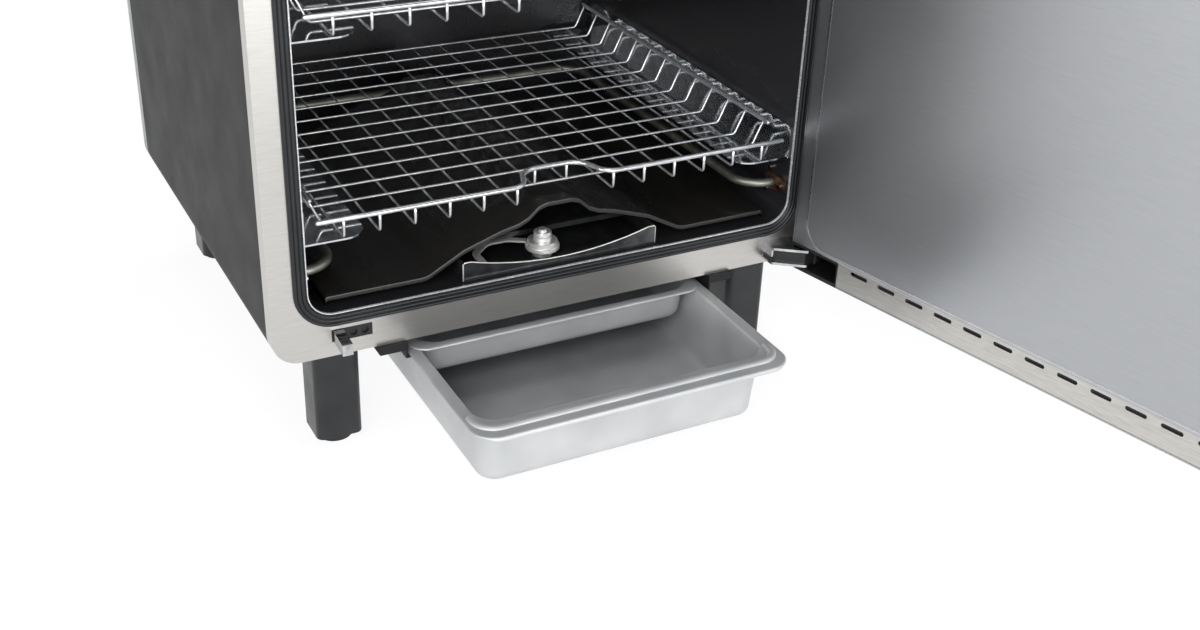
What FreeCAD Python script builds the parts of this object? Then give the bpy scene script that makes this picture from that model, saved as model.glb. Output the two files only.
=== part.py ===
"""Vertical electric smoker with a hinged door and a drawer for grease.

Millimetres, +Z up. The origin is on the floor under the middle of the front left foot, and the door
is on the -Y side. The door stands open and the drawer is half out, as when the smoker is cleaned.
Sizes and places in the functions are counted from the middle of the cabinet.
"""
import FreeCAD, Part
import Sketcher
import math
import os

doc = FreeCAD.newDocument("Smoker")

SIZES = (
    # cabinet
    ("side_wall", 27),
    ("end_wall", 34),
    ("back_wall", 30),
    ("skin", 1.2),
    ("frame_return", 12),
    ("case_corner", 20),
    ("base_flange", 15),
    # chamber
    ("opening_width", 386),
    ("opening_height", 572),
    ("opening_corner", 18),
    ("liner_sheet", 1),
    ("liner_depth", 346),
    ("gasket_width", 9),
    ("gasket_proud", 3),
    ("gasket_depth", 9),
    ("groove_width", 1.2),
    ("groove_depth", 1.2),
    ("seat_gap", 0.3),
    # legs
    ("leg_height", 76),
    ("leg_width", 34),
    ("leg_corner", 6),
    ("leg_inset", 31.5),
    ("leg_setback", 12),
    ("foot_height", 6),
    ("foot_radius", 13),
    # drain
    ("drain_radius", 9),
    ("drain_wall", 1),
    ("drain_flange", 15),
    ("drain_back_gap", 131),
    ("drain_drop", 5),
    # drawer
    ("drawer_out", 125),
    ("tray_leg_gap", 31.5),
    ("tray_length", 290),
    ("tray_sheet", 1),
    ("tray_drop", 9.8),
    ("tray_rim_side", 10),
    ("tray_rim_front", 21),
    ("tray_well_depth", 48),
    ("tray_taper", 4),
    ("tray_corner", 18),
    ("well_corner", 14),
    ("floor_round", 6),
    ("bead_inset_front", 8.4),
    ("bead_inset_side", 3),
    ("bead_width", 6.4),
    ("bead_height", 2),
    ("insert_setback", 122.5),
    ("insert_length", 162),
    ("insert_rim", 8.5),
    ("insert_depth", 24),
    ("insert_corner", 14),
    ("runner_gap", 1.5),
    ("runner_sheet", 1.4),
    ("runner_width", 20.5),
    ("runner_bar", 6),
    ("runner_lip", 4.3),
    # racks
    ("rack_level", 88.7),
    ("rack_step", 140),
    ("wire_pitch", 25.4),
    ("wire_radius", 1.1),
    ("rail_radius", 1.9),
    ("rail_rise", 13.9),
    ("rail_end_gap", 8.4),
    ("grid_side_gap", 20),
    ("rack_back_gap", 12),
    ("grip_width", 64),
    ("grip_depth", 26),
    ("side_rise", 21.8),
    ("rack_side_gap", 11),
    ("side_lean", 9),
    # rack supports
    ("shelf_width", 46),
    ("shelf_back_gap", 12),
    ("shelf_flange", 24),
    ("shelf_corner", 16),
    # heating
    ("element_radius", 3.3),
    ("element_level", 59.5),
    ("element_side_gap", 27),
    ("element_front", 19),
    ("element_back_gap", 34),
    ("element_bend", 22),
    ("flange_length", 26),
    ("flange_height", 13),
    ("baffle_side_gap", 15),
    ("baffle_front", 10),
    ("baffle_back_gap", 60),
    ("baffle_level", 7.5),
    ("baffle_peak", 48.5),
    ("baffle_lip", 3.5),
    ("probe_side_gap", 73),
    ("probe_drop", 276),
    ("probe_length", 60),
    # chip box
    ("chip_half_width", 78),
    ("chip_front", 4),
    ("chip_length", 150),
    ("chip_height", 15),
    ("chip_scallop", 10),
    ("lid_setback", 31),
    ("knob_radius", 13.5),
    ("knob_height", 29),
    # door
    ("door_angle", 103.4),
    ("door_thickness", 35),
    ("door_gap", 3.5),
    ("hinge_inset", 10.5),
    ("hinge_forward", 20.5),
    ("strip_height", 22),
    ("emboss", 2.5),
    ("emboss_margin", 12.5),
    ("emboss_corner", 20),
    ("cap_width", 47),
    ("door_corner", 5),
    ("slot_length", 16),
    ("slot_width", 3.2),
    ("slot_pitch", 26.2),
    ("slot_first", 57.6),
    ("pin_radius", 3),
    ("pin_clearance", 0.05),
    ("knuckle_radius", 8),
    ("handle_length", 220),
    ("handle_radius", 8),
    ("handle_standoff", 40),
    ("bar_width", 7.5),
    ("bar_length", 20),
    # head
    ("head_width", 260),
    ("head_height", 52),
    ("head_setback", 20),
    ("head_depth", 200),
    ("dial_radius", 18),
    ("vent_radius", 25),
    ("vent_back_gap", 54),
    ("vent_side_gap", 73),
    ("vent_height", 22),
)

sheet = doc.addObject("Spreadsheet::Sheet", "Sizes")
for row, (alias, amount) in enumerate(SIZES, 1):
    sheet.set("A%d" % row, alias)
    sheet.set("B%d" % row, str(amount))
    sheet.setAlias("B%d" % row, alias)
doc.recompute()


class Size:
    """A length that knows its number and the expression that gives it."""

    def __init__(self, amount, text):
        self.amount = float(amount)
        self.text = text

    def __add__(self, other):
        other = as_size(other)
        return Size(self.amount + other.amount, "(%s + %s)" % (self.text, other.text))

    def __sub__(self, other):
        other = as_size(other)
        return Size(self.amount - other.amount, "(%s - %s)" % (self.text, other.text))

    def __mul__(self, other):
        other = as_size(other)
        return Size(self.amount * other.amount, "(%s * %s)" % (self.text, other.text))

    def __truediv__(self, other):
        other = as_size(other)
        return Size(self.amount / other.amount, "(%s / %s)" % (self.text, other.text))

    def __neg__(self):
        return Size(-self.amount, "(0 - %s)" % self.text)

    def __radd__(self, other):
        return as_size(other) + self

    def __rsub__(self, other):
        return as_size(other) - self

    def __rmul__(self, other):
        return as_size(other) * self


def as_size(value):
    return value if isinstance(value, Size) else Size(value, repr(float(value)))


def bind(thing, prop, value):
    """Tie one property of an object to a size."""
    thing.setExpression(prop, as_size(value).text)


S = {}
for alias, amount in SIZES:
    S[alias] = Size(amount, "Sizes." + alias)

SKIN = S["skin"]
BASE = S["foot_height"] + S["leg_height"]
OPEN_HALF = S["opening_width"] / 2
OPEN_LOW = BASE + S["end_wall"]
OPEN_HIGH = OPEN_LOW + S["opening_height"]
HALF = OPEN_HALF + S["side_wall"]
TOP = OPEN_HIGH + S["end_wall"]
FRONT = -(S["liner_depth"] + S["back_wall"]) / 2
CHAMBER_BACK = FRONT + S["liner_depth"]
DRAIN_Y = CHAMBER_BACK - S["drain_back_gap"]
VENT_X = OPEN_HALF - S["vent_side_gap"]
VENT_Y = CHAMBER_BACK - S["vent_back_gap"]
GAP = S["seat_gap"]
FOOT_X = -HALF + S["leg_inset"] + S["leg_width"] / 2
FOOT_Y = FRONT + S["leg_setback"] + S["leg_width"] / 2
nodes = []


def node(thing, name):
    """Give a finished piece its name, and set it down with the origin under the front left foot."""
    holder = group(name + "_set_down", [thing])
    bind(holder, "Placement.Base.x", -FOOT_X)
    bind(holder, "Placement.Base.y", -FOOT_Y)
    holder.Label = name
    nodes.append(holder)


def box(name, low, high):
    """A box between two corners."""
    thing = doc.addObject("Part::Box", name)
    for prop, base, a, b in zip(("Length", "Width", "Height"), "xyz", low, high):
        bind(thing, prop, as_size(b) - a)
        bind(thing, "Placement.Base." + base, a)
    return thing


TURNS = {
    "z": FreeCAD.Rotation(),
    "x": FreeCAD.Rotation(FreeCAD.Vector(0, 1, 0), 90),
    "y": FreeCAD.Rotation(FreeCAD.Vector(1, 0, 0), -90),
}


def rod(name, axis, start, radius, length):
    """A cylinder from start along +x, +y or +z."""
    thing = doc.addObject("Part::Cylinder", name)
    thing.Placement = FreeCAD.Placement(FreeCAD.Vector(), TURNS[axis])
    bind(thing, "Radius", radius)
    bind(thing, "Height", length)
    for base, value in zip("xyz", start):
        bind(thing, "Placement.Base." + base, value)
    return thing


def fuse(name, things):
    thing = doc.addObject("Part::MultiFuse", name)
    thing.Shapes = things
    thing.Refine = True
    return thing


def cut(name, base, tools):
    thing = doc.addObject("Part::Cut", name)
    thing.Base = base
    thing.Tool = tools[0] if len(tools) == 1 else fuse(name + "_tools", tools)
    return thing


def group(name, things):
    thing = doc.addObject("Part::Compound", name)
    thing.Links = things
    return thing


ROLES = {"xy": "XY_Plane", "xz": "XZ_Plane", "yz": "YZ_Plane"}


def prism(name, plane, corners, start, end, rounds=None):
    """A closed outline on a plane, padded from start to end along the plane's own axis.

    rounds gives a radius for the corners, either one for all or one for each, None where sharp.
    """
    body = doc.addObject("PartDesign::Body", name)
    sketch = body.newObject("Sketcher::SketchObject", name + "_outline")
    for feature in body.Origin.OriginFeatures:
        if feature.Role == ROLES[plane]:
            sketch.AttachmentSupport = (feature, [""])
    sketch.MapMode = "FlatFace"
    count = len(corners)
    points = [FreeCAD.Vector(as_size(u).amount, as_size(v).amount, 0) for u, v in corners]
    for i in range(count):
        sketch.addGeometry(Part.LineSegment(points[i], points[(i + 1) % count]))
    for i in range(count):
        sketch.addConstraint(Sketcher.Constraint("Coincident", i, 2, (i + 1) % count, 1))
    for i, corner in enumerate(corners):
        for kind, amount, value in zip(("DistanceX", "DistanceY"), (points[i].x, points[i].y), corner):
            index = sketch.addConstraint(Sketcher.Constraint(kind, -1, 1, i, 1, amount))
            if isinstance(value, Size):
                sketch.setExpression("Constraints[%d]" % index, value.text)
    offset = -as_size(start) if plane == "xz" else as_size(start)
    bind(sketch, "AttachmentOffset.Base.z", offset)
    pad = body.newObject("PartDesign::Pad", name + "_pad")
    pad.Profile = sketch
    bind(pad, "Length", as_size(end) - start)
    pad.Reversed = plane == "xz"
    if rounds is None:
        return body
    doc.recompute()
    if not isinstance(rounds, (list, tuple)):
        rounds = [rounds] * count
    for number, radius in enumerate(dict.fromkeys(r for r in rounds if r is not None)):
        wanted = [p for p, r in zip(points, rounds) if r is radius]
        last = body.Tip
        shape = last.Shape
        names = []
        for index, edge in enumerate(shape.Edges, 1):
            a, b = edge.Vertexes[0].Point, edge.Vertexes[-1].Point
            flat_a, flat_b = flatten(a, plane), flatten(b, plane)
            if flat_a.distanceToPoint(flat_b) > 0.01:
                continue
            if any(flat_a.distanceToPoint(p) < 0.05 for p in wanted):
                names.append("Edge%d" % index)
        fillet = body.newObject("PartDesign::Fillet", "%s_round_%d" % (name, number))
        fillet.Base = (last, names)
        bind(fillet, "Radius", radius)
        body.Tip = fillet
        doc.recompute()
    return body


def flatten(point, plane):
    """The two coordinates of a point that its plane keeps."""
    if plane == "xy":
        return FreeCAD.Vector(point.x, point.y, 0)
    if plane == "xz":
        return FreeCAD.Vector(point.x, point.z, 0)
    return FreeCAD.Vector(point.y, point.z, 0)


def rectangle(low_u, low_v, high_u, high_v):
    return [(low_u, low_v), (high_u, low_v), (high_u, high_v), (low_u, high_v)]


def plain(name, shape):
    """A piece whose form comes from Part's own functions."""
    thing = doc.addObject("Part::Feature", name)
    thing.Shape = shape
    return thing


def opening_prism(name, grow, start, end):
    """The chamber's rounded outline, grown on all sides, between two depths."""
    outline = rectangle(-OPEN_HALF - grow, OPEN_LOW - grow, OPEN_HALF + grow, OPEN_HIGH + grow)
    return prism(name, "xz", outline, start, end, S["opening_corner"] + grow)


def case_prism(name, shrink, start, end):
    """The cabinet's rounded outline, shrunk on all sides, between two depths."""
    outline = rectangle(-HALF + shrink, BASE + shrink, HALF - shrink, TOP - shrink)
    return prism(name, "xz", outline, start, end, S["case_corner"] - shrink)


# cabinet

CATCH_X = -HALF + 42
CATCH_WIDTH = 29.5


def make_front_frame():
    """Pressed stainless frame around the door opening, folded back at its outer edge."""
    outer = case_prism("frame_outer", as_size(0), FRONT, FRONT + S["frame_return"])
    inner = case_prism("frame_inner", SKIN, FRONT + SKIN, FRONT + S["frame_return"] + 1)
    hole = opening_prism("frame_hole", S["liner_sheet"] + S["gasket_width"], FRONT - 1, FRONT + 5)
    catch = box("frame_catch_window", (CATCH_X, FRONT - 1, BASE + 11), (CATCH_X + CATCH_WIDTH, FRONT + 5, BASE + 20.5))
    node(cut("front_frame_sheet", outer, [inner, hole, catch]), "front_frame")


def make_outer_shell():
    """Sides and roof in one rounded wrap, open underneath, with the hole for the vent."""
    low = FRONT + S["frame_return"]
    high = -FRONT - S["frame_return"]
    corner = S["case_corner"]
    outer = case_prism("shell_outer", as_size(0), low, high)
    inner = case_prism("shell_inner", SKIN, low - 1, high + 1)
    under = box("shell_under", (-HALF + corner, low - 1, BASE - 1), (HALF - corner, high + 1, BASE + SKIN + 1))
    vent = rod("shell_vent", "z", (VENT_X, VENT_Y, TOP - 5),
               S["vent_radius"] + GAP, 10)
    node(cut("outer_shell_sheet", outer, [inner, under, vent]), "outer_shell")


def make_back_panel():
    """Pressed back with a folded edge all round."""
    low = -FRONT - S["frame_return"]
    outer = case_prism("back_outer", as_size(0), low, -FRONT)
    inner = case_prism("back_inner", SKIN, low - 1, -FRONT - SKIN)
    node(cut("back_panel_sheet", outer, [inner]), "back_panel")


def make_base_pan():
    """Floor of the cabinet, with its side edges folded up between the ends of the wrap."""
    low = FRONT + S["frame_return"]
    high = -FRONT - S["frame_return"]
    edge = HALF - S["case_corner"]
    outer = box("base_outer", (-edge, low, BASE), (edge, high, BASE + S["base_flange"]))
    inner = box("base_inner", (-edge + SKIN, low - 1, BASE + SKIN),
                (edge - SKIN, high + 1, BASE + S["base_flange"] + 1))
    hole = rod("base_drain", "z", (0, DRAIN_Y, BASE - 1), S["drain_radius"] + GAP, 10)
    node(cut("base_pan_sheet", outer, [inner, hole]), "base_pan")


def make_liner():
    """Enamelled chamber: five walls with rounded corners, open at the front."""
    sheet_size = S["liner_sheet"]
    outer = opening_prism("liner_outer", sheet_size, FRONT, FRONT + S["liner_depth"] + sheet_size)
    inner = opening_prism("liner_inner", as_size(0), FRONT - 1, FRONT + S["liner_depth"])
    drain = rod("liner_drain", "z", (0, DRAIN_Y, OPEN_LOW - 5),
                S["drain_radius"] + GAP, 10)
    vent = rod("liner_vent", "z", (VENT_X, VENT_Y, OPEN_HIGH - 5),
               S["vent_radius"] + GAP, 10)
    node(cut("inner_liner_box", outer, [inner, drain, vent, element_way("liner_heater")]), "inner_liner")


def element_way(name):
    """Holes for the two ends of the heater, right across the cabinet."""
    reach = OPEN_HALF + 20
    middle = (-reach, FRONT + S["element_front"], BASE + S["element_level"])
    return rod(name, "x", middle, S["element_radius"] + GAP, reach * 2)


def make_gasket():
    """Soft door seal around the chamber's mouth, with two grooves in its face."""
    inner = S["liner_sheet"]
    outer = inner + S["gasket_width"]
    low = FRONT - S["gasket_proud"]
    high = FRONT - S["gasket_proud"] + S["gasket_depth"]
    ring = opening_prism("gasket_outer", outer, low, high)
    tools = [opening_prism("gasket_inner", inner, low - 1, high + 1)]
    for number, share in enumerate((0.36, 0.7)):
        middle = inner + S["gasket_width"] * share
        half = S["groove_width"] / 2
        wide = opening_prism("groove_wide_%d" % number, middle + half, low - 1, low + S["groove_depth"])
        slim = opening_prism("groove_slim_%d" % number, middle - half, low - 2, low + S["groove_depth"] + 1)
        tools.append(cut("groove_%d" % number, wide, [slim]))
    node(cut("gasket_ring", ring, tools), "door_gasket")


def make_insulation():
    """Fibre batts between the liner and the outer skin."""
    side = OPEN_HALF + S["liner_sheet"] + GAP
    low = FRONT + S["frame_return"]
    back = FRONT + S["liner_depth"] + S["liner_sheet"] + GAP
    rise = BASE + S["base_flange"] + GAP
    roof = OPEN_HIGH + S["liner_sheet"] + GAP
    outer = case_prism("wrap_outer", SKIN + GAP, low, back)
    inner = box("wrap_inner", (-side, low - 1, rise - 1), (side, back + 1, roof))
    under = box("wrap_under", (-HALF, low - 1, BASE - 1), (HALF, back + 1, rise))
    vent = rod("wrap_vent", "z", (VENT_X, VENT_Y, roof - 5),
               S["vent_radius"] + GAP, 60)
    node(cut("insulation_wrap_batt", outer, [inner, under, vent, element_way("wrap_heater")]), "insulation_wrap")
    floor = box("floor_batt", (-side + GAP, low, rise), (side - GAP, back, OPEN_LOW - S["liner_sheet"] - GAP))
    drain = rod("floor_drain", "z", (0, DRAIN_Y, BASE), S["drain_radius"] + GAP, 60)
    node(cut("insulation_floor_batt", floor, [drain]), "insulation_floor")
    rear = case_prism("rear_blank", SKIN + GAP, back + GAP, -FRONT - SKIN - GAP)
    below = box("rear_under", (-HALF, back, BASE - 1), (HALF, -FRONT + 1, rise))
    node(cut("rear_batt", rear, [below]), "insulation_back")


def make_legs():
    """Four rounded square columns under the corners, each with a rubber pad."""
    pads = []
    width = S["leg_width"]
    for side, x_low in (("left", -HALF + S["leg_inset"]), ("right", HALF - S["leg_inset"] - width)):
        for end, y_low in (("front", FRONT + S["leg_setback"]), ("rear", -FRONT - S["leg_setback"] - width)):
            name = "leg_%s_%s" % (end, side)
            outline = rectangle(x_low, y_low, x_low + width, y_low + width)
            node(prism(name + "_column", "xy", outline, S["foot_height"], BASE, S["leg_corner"]), name)
            middle = (x_low + width / 2, y_low + width / 2, 0)
            pads.append(rod("pad_%s_%s" % (end, side), "z", middle, S["foot_radius"], S["foot_height"]))
    node(group("pads", pads), "foot_pads")


def make_drain():
    """Flanged spout that lets fat fall from the chamber floor into the drawer."""
    x_y = (0, DRAIN_Y)
    low = BASE - S["drain_drop"]
    flange = rod("drain_flange_disc", "z", x_y + (OPEN_LOW,), S["drain_flange"], S["drain_wall"])
    tube = rod("drain_tube", "z", x_y + (low,), S["drain_radius"], OPEN_LOW - low + S["drain_wall"] / 2)
    bore = rod("drain_bore_tool", "z", x_y + (low - 1,), S["drain_radius"] - S["drain_wall"],
               OPEN_LOW - low + 10)
    node(cut("drain_spout_tube", fuse("drain_body", [flange, tube]), [bore]), "drain_spout")


# drawer

TRAY_HALF = HALF - S["leg_inset"] - S["leg_width"] - S["tray_leg_gap"]
TRAY_TOP = BASE - S["tray_drop"]
TRAY_FRONT = FRONT - S["drawer_out"] - 2.4
TRAY_BACK = TRAY_FRONT + S["tray_length"]


def well(name, rect, low, high, taper, corner, bottom):
    """A block that widens upwards by taper on each side, with rounded corners and a soft lower rim."""
    body = prism(name, "xy", rectangle(*rect), low, high)
    pad = body.Tip
    doc.recompute()
    straight_volume = body.Shape.Volume
    slant = "atan(%s / %s)" % (as_size(taper).text, (as_size(high) - low).text)
    pad.setExpression("TaperAngle", slant)
    doc.recompute()
    if body.Shape.Volume < straight_volume:
        pad.setExpression("TaperAngle", "0 deg - " + slant)
        doc.recompute()
    floor = as_size(low).amount
    for step, radius in (("corners", corner), ("rim", bottom)):
        last = body.Tip
        names = []
        for index, edge in enumerate(last.Shape.Edges, 1):
            upright = edge.BoundBox.ZLength > 1
            lowest = edge.BoundBox.ZMax < floor + 0.01
            if upright if step == "corners" else lowest:
                names.append("Edge%d" % index)
        fillet = body.newObject("PartDesign::Fillet", "%s_%s" % (name, step))
        fillet.Base = (last, names)
        bind(fillet, "Radius", radius)
        body.Tip = fillet
        doc.recompute()
    return body


def pan(name, half, front, back, top, rims, depth, taper, corner, well_corner):
    """A drawn pan: a flat rim of sheet around a tapered well. rims is (side, front, back)."""
    thick = S["tray_sheet"]
    side_rim, front_rim, back_rim = rims
    rim = prism(name + "_rim", "xy", rectangle(-half, front, half, back), top - thick, top, corner)
    floor = (-half + side_rim + taper, front + front_rim + taper, half - side_rim - taper, back - back_rim - taper)
    grown = (floor[0] - thick, floor[1] - thick, floor[2] + thick, floor[3] + thick)
    skin = well(name + "_skin", grown, top - depth, top - thick / 2, taper, well_corner + thick,
                S["floor_round"] + thick)
    shell = fuse(name + "_shell", [rim, skin])
    hollow = well(name + "_hollow", floor, top - depth + thick, top + 0.01, taper, well_corner, S["floor_round"])
    return cut(name + "_pan", shell, [hollow])


def make_tray():
    """Deep drawer pan with a raised bead that runs along its front rim and round both corners."""
    body = pan("tray", TRAY_HALF, TRAY_FRONT, TRAY_BACK, TRAY_TOP,
               (S["tray_rim_side"], S["tray_rim_front"], S["tray_rim_side"]),
               S["tray_well_depth"], S["tray_taper"], S["tray_corner"], S["well_corner"])
    side = TRAY_HALF - S["bead_inset_side"]
    front = TRAY_FRONT + S["bead_inset_front"]
    wide = S["bead_width"]
    corner = S["tray_corner"]
    back = front + corner * 2
    outer = prism("bead_outer", "xy", rectangle(-side, front, side, back), TRAY_TOP,
                  TRAY_TOP + S["bead_height"], [corner, corner, None, None])
    inner = prism("bead_inner", "xy", rectangle(-side + wide, front + wide, side - wide, back + 1),
                  TRAY_TOP - 1, TRAY_TOP + S["bead_height"] + 1, [corner - wide, corner - wide, None, None])
    ends = box("bead_ends", (-TRAY_HALF, front + corner + 4, TRAY_TOP - 1), (TRAY_HALF, back + 2, TRAY_TOP + 5))
    node(fuse("grease_tray_pan", [body, cut("bead", outer, [inner, ends])]), "grease_tray")


def make_insert():
    """Shallow pan that hangs by its rim in the back of the drawer."""
    front = TRAY_FRONT + S["insert_setback"]
    half = TRAY_HALF - S["tray_rim_side"] / 3
    rim = S["insert_rim"]
    top = TRAY_TOP + S["tray_sheet"]
    side = half - TRAY_HALF + S["tray_rim_side"] + S["tray_sheet"] + 1
    piece = pan("insert", half, front, front + S["insert_length"], top, (side, rim, rim), S["insert_depth"],
                S["tray_taper"] / 2, S["insert_corner"], S["well_corner"])
    node(piece, "inner_pan")


def make_runners():
    """Folded rails under the cabinet that carry the drawer's rim."""
    sheet_size = S["runner_sheet"]
    inner = TRAY_HALF + S["runner_gap"]
    low = TRAY_TOP - S["tray_sheet"] - GAP
    for side, sign in (("left", -1), ("right", 1)):
        corners = [
            (sign * (inner + S["runner_width"]), BASE),
            (sign * inner, BASE),
            (sign * inner, low),
            (sign * (inner - S["runner_lip"]), low),
            (sign * (inner - S["runner_lip"]), low - sheet_size),
            (sign * (inner + sheet_size), low - sheet_size),
            (sign * (inner + sheet_size), BASE - S["runner_bar"]),
            (sign * (inner + S["runner_width"]), BASE - S["runner_bar"]),
        ]
        node(prism("runner_%s_rail" % side, "xz", corners, FRONT - 4, -FRONT - S["frame_return"] - 20),
             "tray_runner_" + side)


# racks

LEVELS = 3
COLUMNS = int((OPEN_HALF - S["grid_side_gap"]).amount * 2 / S["wire_pitch"].amount) + 1
ROWS = int((S["liner_depth"] - S["rack_back_gap"]).amount / S["wire_pitch"].amount)


def straight(start, end, radius):
    """A round wire between two points."""
    along = end - start
    return Part.makeCylinder(radius, along.Length, start, along)


def bent_path(points, bends):
    """Straight runs and arcs through the points, with an arc of the given radius at each inner one."""
    edges = []
    at = points[0]
    for before, corner, after, bend in zip(points, points[1:], points[2:], bends):
        inward = (before - corner).normalize()
        outward = (after - corner).normalize()
        half_angle = inward.getAngle(outward) / 2
        reach = bend / math.tan(half_angle)
        start = corner + inward * reach
        end = corner + outward * reach
        middle_way = (inward + outward).normalize()
        centre = corner + middle_way * (bend / math.sin(half_angle))
        middle = centre - middle_way * bend
        edges.append(Part.LineSegment(at, start).toShape())
        edges.append(Part.Arc(start, middle, end).toShape())
        at = end
    edges.append(Part.LineSegment(at, points[-1]).toShape())
    return edges


def along(edges, radius):
    """A round bar that follows the edges."""
    first = edges[0]
    section = Part.Wire(Part.makeCircle(radius, first.valueAt(first.FirstParameter),
                                        first.tangentAt(first.FirstParameter)))
    return Part.Wire(edges).makePipeShell([section], True, False)


def rack_shapes(level):
    """Welded wire rack: a square grid with a raised front rail and raised side rails.

    The front rail steps back in the middle for the hand, and stands on the turned-up ends of the
    long wires.
    """
    pitch = S["wire_pitch"].amount
    thin = S["wire_radius"].amount
    rail = S["rail_radius"].amount
    front = FRONT.amount + rail - 1.6
    reach = (COLUMNS - 1) / 2 * pitch
    rise = S["rail_rise"].amount
    back = front + pitch * ROWS + 4
    shapes = []
    grip = S["grip_width"].amount / 2
    for column in range(COLUMNS):
        x = column * pitch - reach
        start = front + pitch if abs(x) < grip else front
        top = level + rise - rail
        shapes.append(straight(FreeCAD.Vector(x, start + thin, level), FreeCAD.Vector(x, back, level), thin))
        shapes.append(straight(FreeCAD.Vector(x, start, level - thin), FreeCAD.Vector(x, start, top), thin))
    side = (OPEN_HALF - S["rack_side_gap"]).amount
    lean = S["side_lean"].amount
    side_rise = S["side_rise"].amount
    cross = level + 2 * thin
    for number in range(ROWS):
        y = front + pitch * (number + 1)
        points = [
            FreeCAD.Vector(-side, y, cross + side_rise - 2 * thin - rail),
            FreeCAD.Vector(-side + lean, y, cross),
            FreeCAD.Vector(side - lean, y, cross),
            FreeCAD.Vector(side, y, cross + side_rise - 2 * thin - rail),
        ]
        first = points[1] + (points[0] - points[1]).normalize() * thin
        last = points[2] + (points[3] - points[2]).normalize() * thin
        shapes.append(straight(points[1], points[2], thin))
        shapes.append(straight(first, points[0], thin))
        shapes.append(straight(last, points[3], thin))
    step = S["grip_depth"].amount
    bend = 10
    half = (OPEN_HALF - S["rail_end_gap"]).amount
    rail_level = level + rise
    rail_points = [FreeCAD.Vector(x, front + y, rail_level) for x, y in (
        (-half, 0), (-grip, 0), (-grip + 8, step), (grip - 8, step), (grip, 0), (half, 0))]
    for edge in bent_path(rail_points, (bend, bend, bend, bend)):
        shapes.append(along([edge], rail))
    for sign in (-1, 1):
        start = FreeCAD.Vector(sign * side, front + pitch - 8, level + side_rise)
        end = FreeCAD.Vector(sign * side, back, level + side_rise)
        shapes.append(straight(start, end, rail))
    return shapes


def make_racks():
    for number in range(LEVELS):
        level = (BASE + S["rack_level"] + S["rack_step"] * number).amount
        name = "cooking_rack_%d" % (number + 1)
        node(plain(name + "_wires", Part.makeCompound(rack_shapes(level))), name)


def make_supports():
    """Folded shelves on the side walls, one pair for each rack."""
    for side, sign in (("left", -1), ("right", 1)):
        pieces = []
        for number in range(LEVELS):
            top = BASE + S["rack_level"] + S["rack_step"] * number - S["wire_radius"] - GAP
            wall = OPEN_HALF - GAP / 3
            low_y = FRONT + 2
            high_y = CHAMBER_BACK - S["shelf_back_gap"]
            inner = wall - S["shelf_width"]
            shelf = prism("shelf_%s_%d" % (side, number), "xy",
                          [(sign * wall, low_y), (sign * wall, high_y), (sign * inner, high_y), (sign * inner, low_y)],
                          top - SKIN, top, [None, None, None, S["shelf_corner"]])
            x_pair = (-wall, -wall + SKIN) if sign < 0 else (wall - SKIN, wall)
            flange = box("shelf_flange_%s_%d" % (side, number), (x_pair[0], low_y, top - SKIN),
                         (x_pair[1], high_y, top + S["shelf_flange"]))
            pieces.append(fuse("support_%s_%d" % (side, number), [shelf, flange]))
        node(group("supports_" + side, pieces), "rack_supports_" + side)


# heating

def make_element():
    """Tubular heater: one loop around the back of the chamber, both ends through the side walls."""
    level = (BASE + S["element_level"]).amount
    front = (FRONT + S["element_front"]).amount
    back = (CHAMBER_BACK - S["element_back_gap"]).amount
    half = (OPEN_HALF - S["element_side_gap"]).amount
    wall = (OPEN_HALF + S["liner_sheet"]).amount + 4
    bend = S["element_bend"].amount
    points = [FreeCAD.Vector(x, y, level) for x, y in (
        (-wall, front), (-half, front), (-half, back), (half, back), (half, front), (wall, front))]
    runs = bent_path(points, (bend, bend, bend, bend))
    node(plain("element_tube", along(runs, S["element_radius"].amount)), "heating_element")


def make_element_flanges():
    """Oval plates where the heater passes the side walls, with their screws."""
    level = BASE + S["element_level"]
    middle = FRONT + S["element_front"] - 2
    plates = []
    screws = []
    half_long = S["flange_length"] / 2
    half_high = S["flange_height"] / 2
    for side, sign in (("left", -1), ("right", 1)):
        face = OPEN_HALF - GAP / 3
        low_x, high_x = (-face, -face + 1.5) if sign < 0 else (face - 1.5, face)
        plate = prism("element_plate_" + side, "yz",
                      rectangle(middle - half_long, level - half_high, middle + half_long, level + half_high),
                      low_x, high_x, half_high - 0.05)
        hole = rod("element_hole_" + side, "x", (low_x - 5, FRONT + S["element_front"], level),
                   S["element_radius"] + 0.2, 12)
        plates.append(cut("element_flange_" + side, plate, [hole]))
        head_x = high_x if sign < 0 else low_x - 1.6
        screws.append(rod("element_screw_" + side, "x", (head_x, middle - half_long + 5, level), 2.2, 1.6))
        for number, (y, z) in enumerate(((25, 70), (27.5, 51))):
            foot = -OPEN_HALF + 0.45 if sign < 0 else OPEN_HALF - 2.25
            screws.append(rod("wall_screw_%s_%d" % (side, number), "x", (foot, FRONT + y, BASE + z), 2.3, 1.8))
    node(group("flanges", plates), "element_flanges")
    node(group("screws", screws), "chamber_screws")


BAFFLE_HALF = OPEN_HALF - S["baffle_side_gap"]
BAFFLE_LINE = (
    # share of the half width, share of the peak height
    (1.0, 0.0),
    (0.584, 0.0),
    (0.42, 0.355),
    (0.18, 0.655),
    (0.135, 0.73),
    (0.09, 0.94),
    (0.055, 0.99),
)


def baffle_outline(drop):
    """Right half of the baffle's section, from its outer edge to the middle."""
    floor = OPEN_LOW + S["baffle_level"]
    rise = S["baffle_peak"] - S["baffle_level"]
    return [(BAFFLE_HALF * x, floor + rise * z - drop) for x, z in BAFFLE_LINE]


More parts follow.
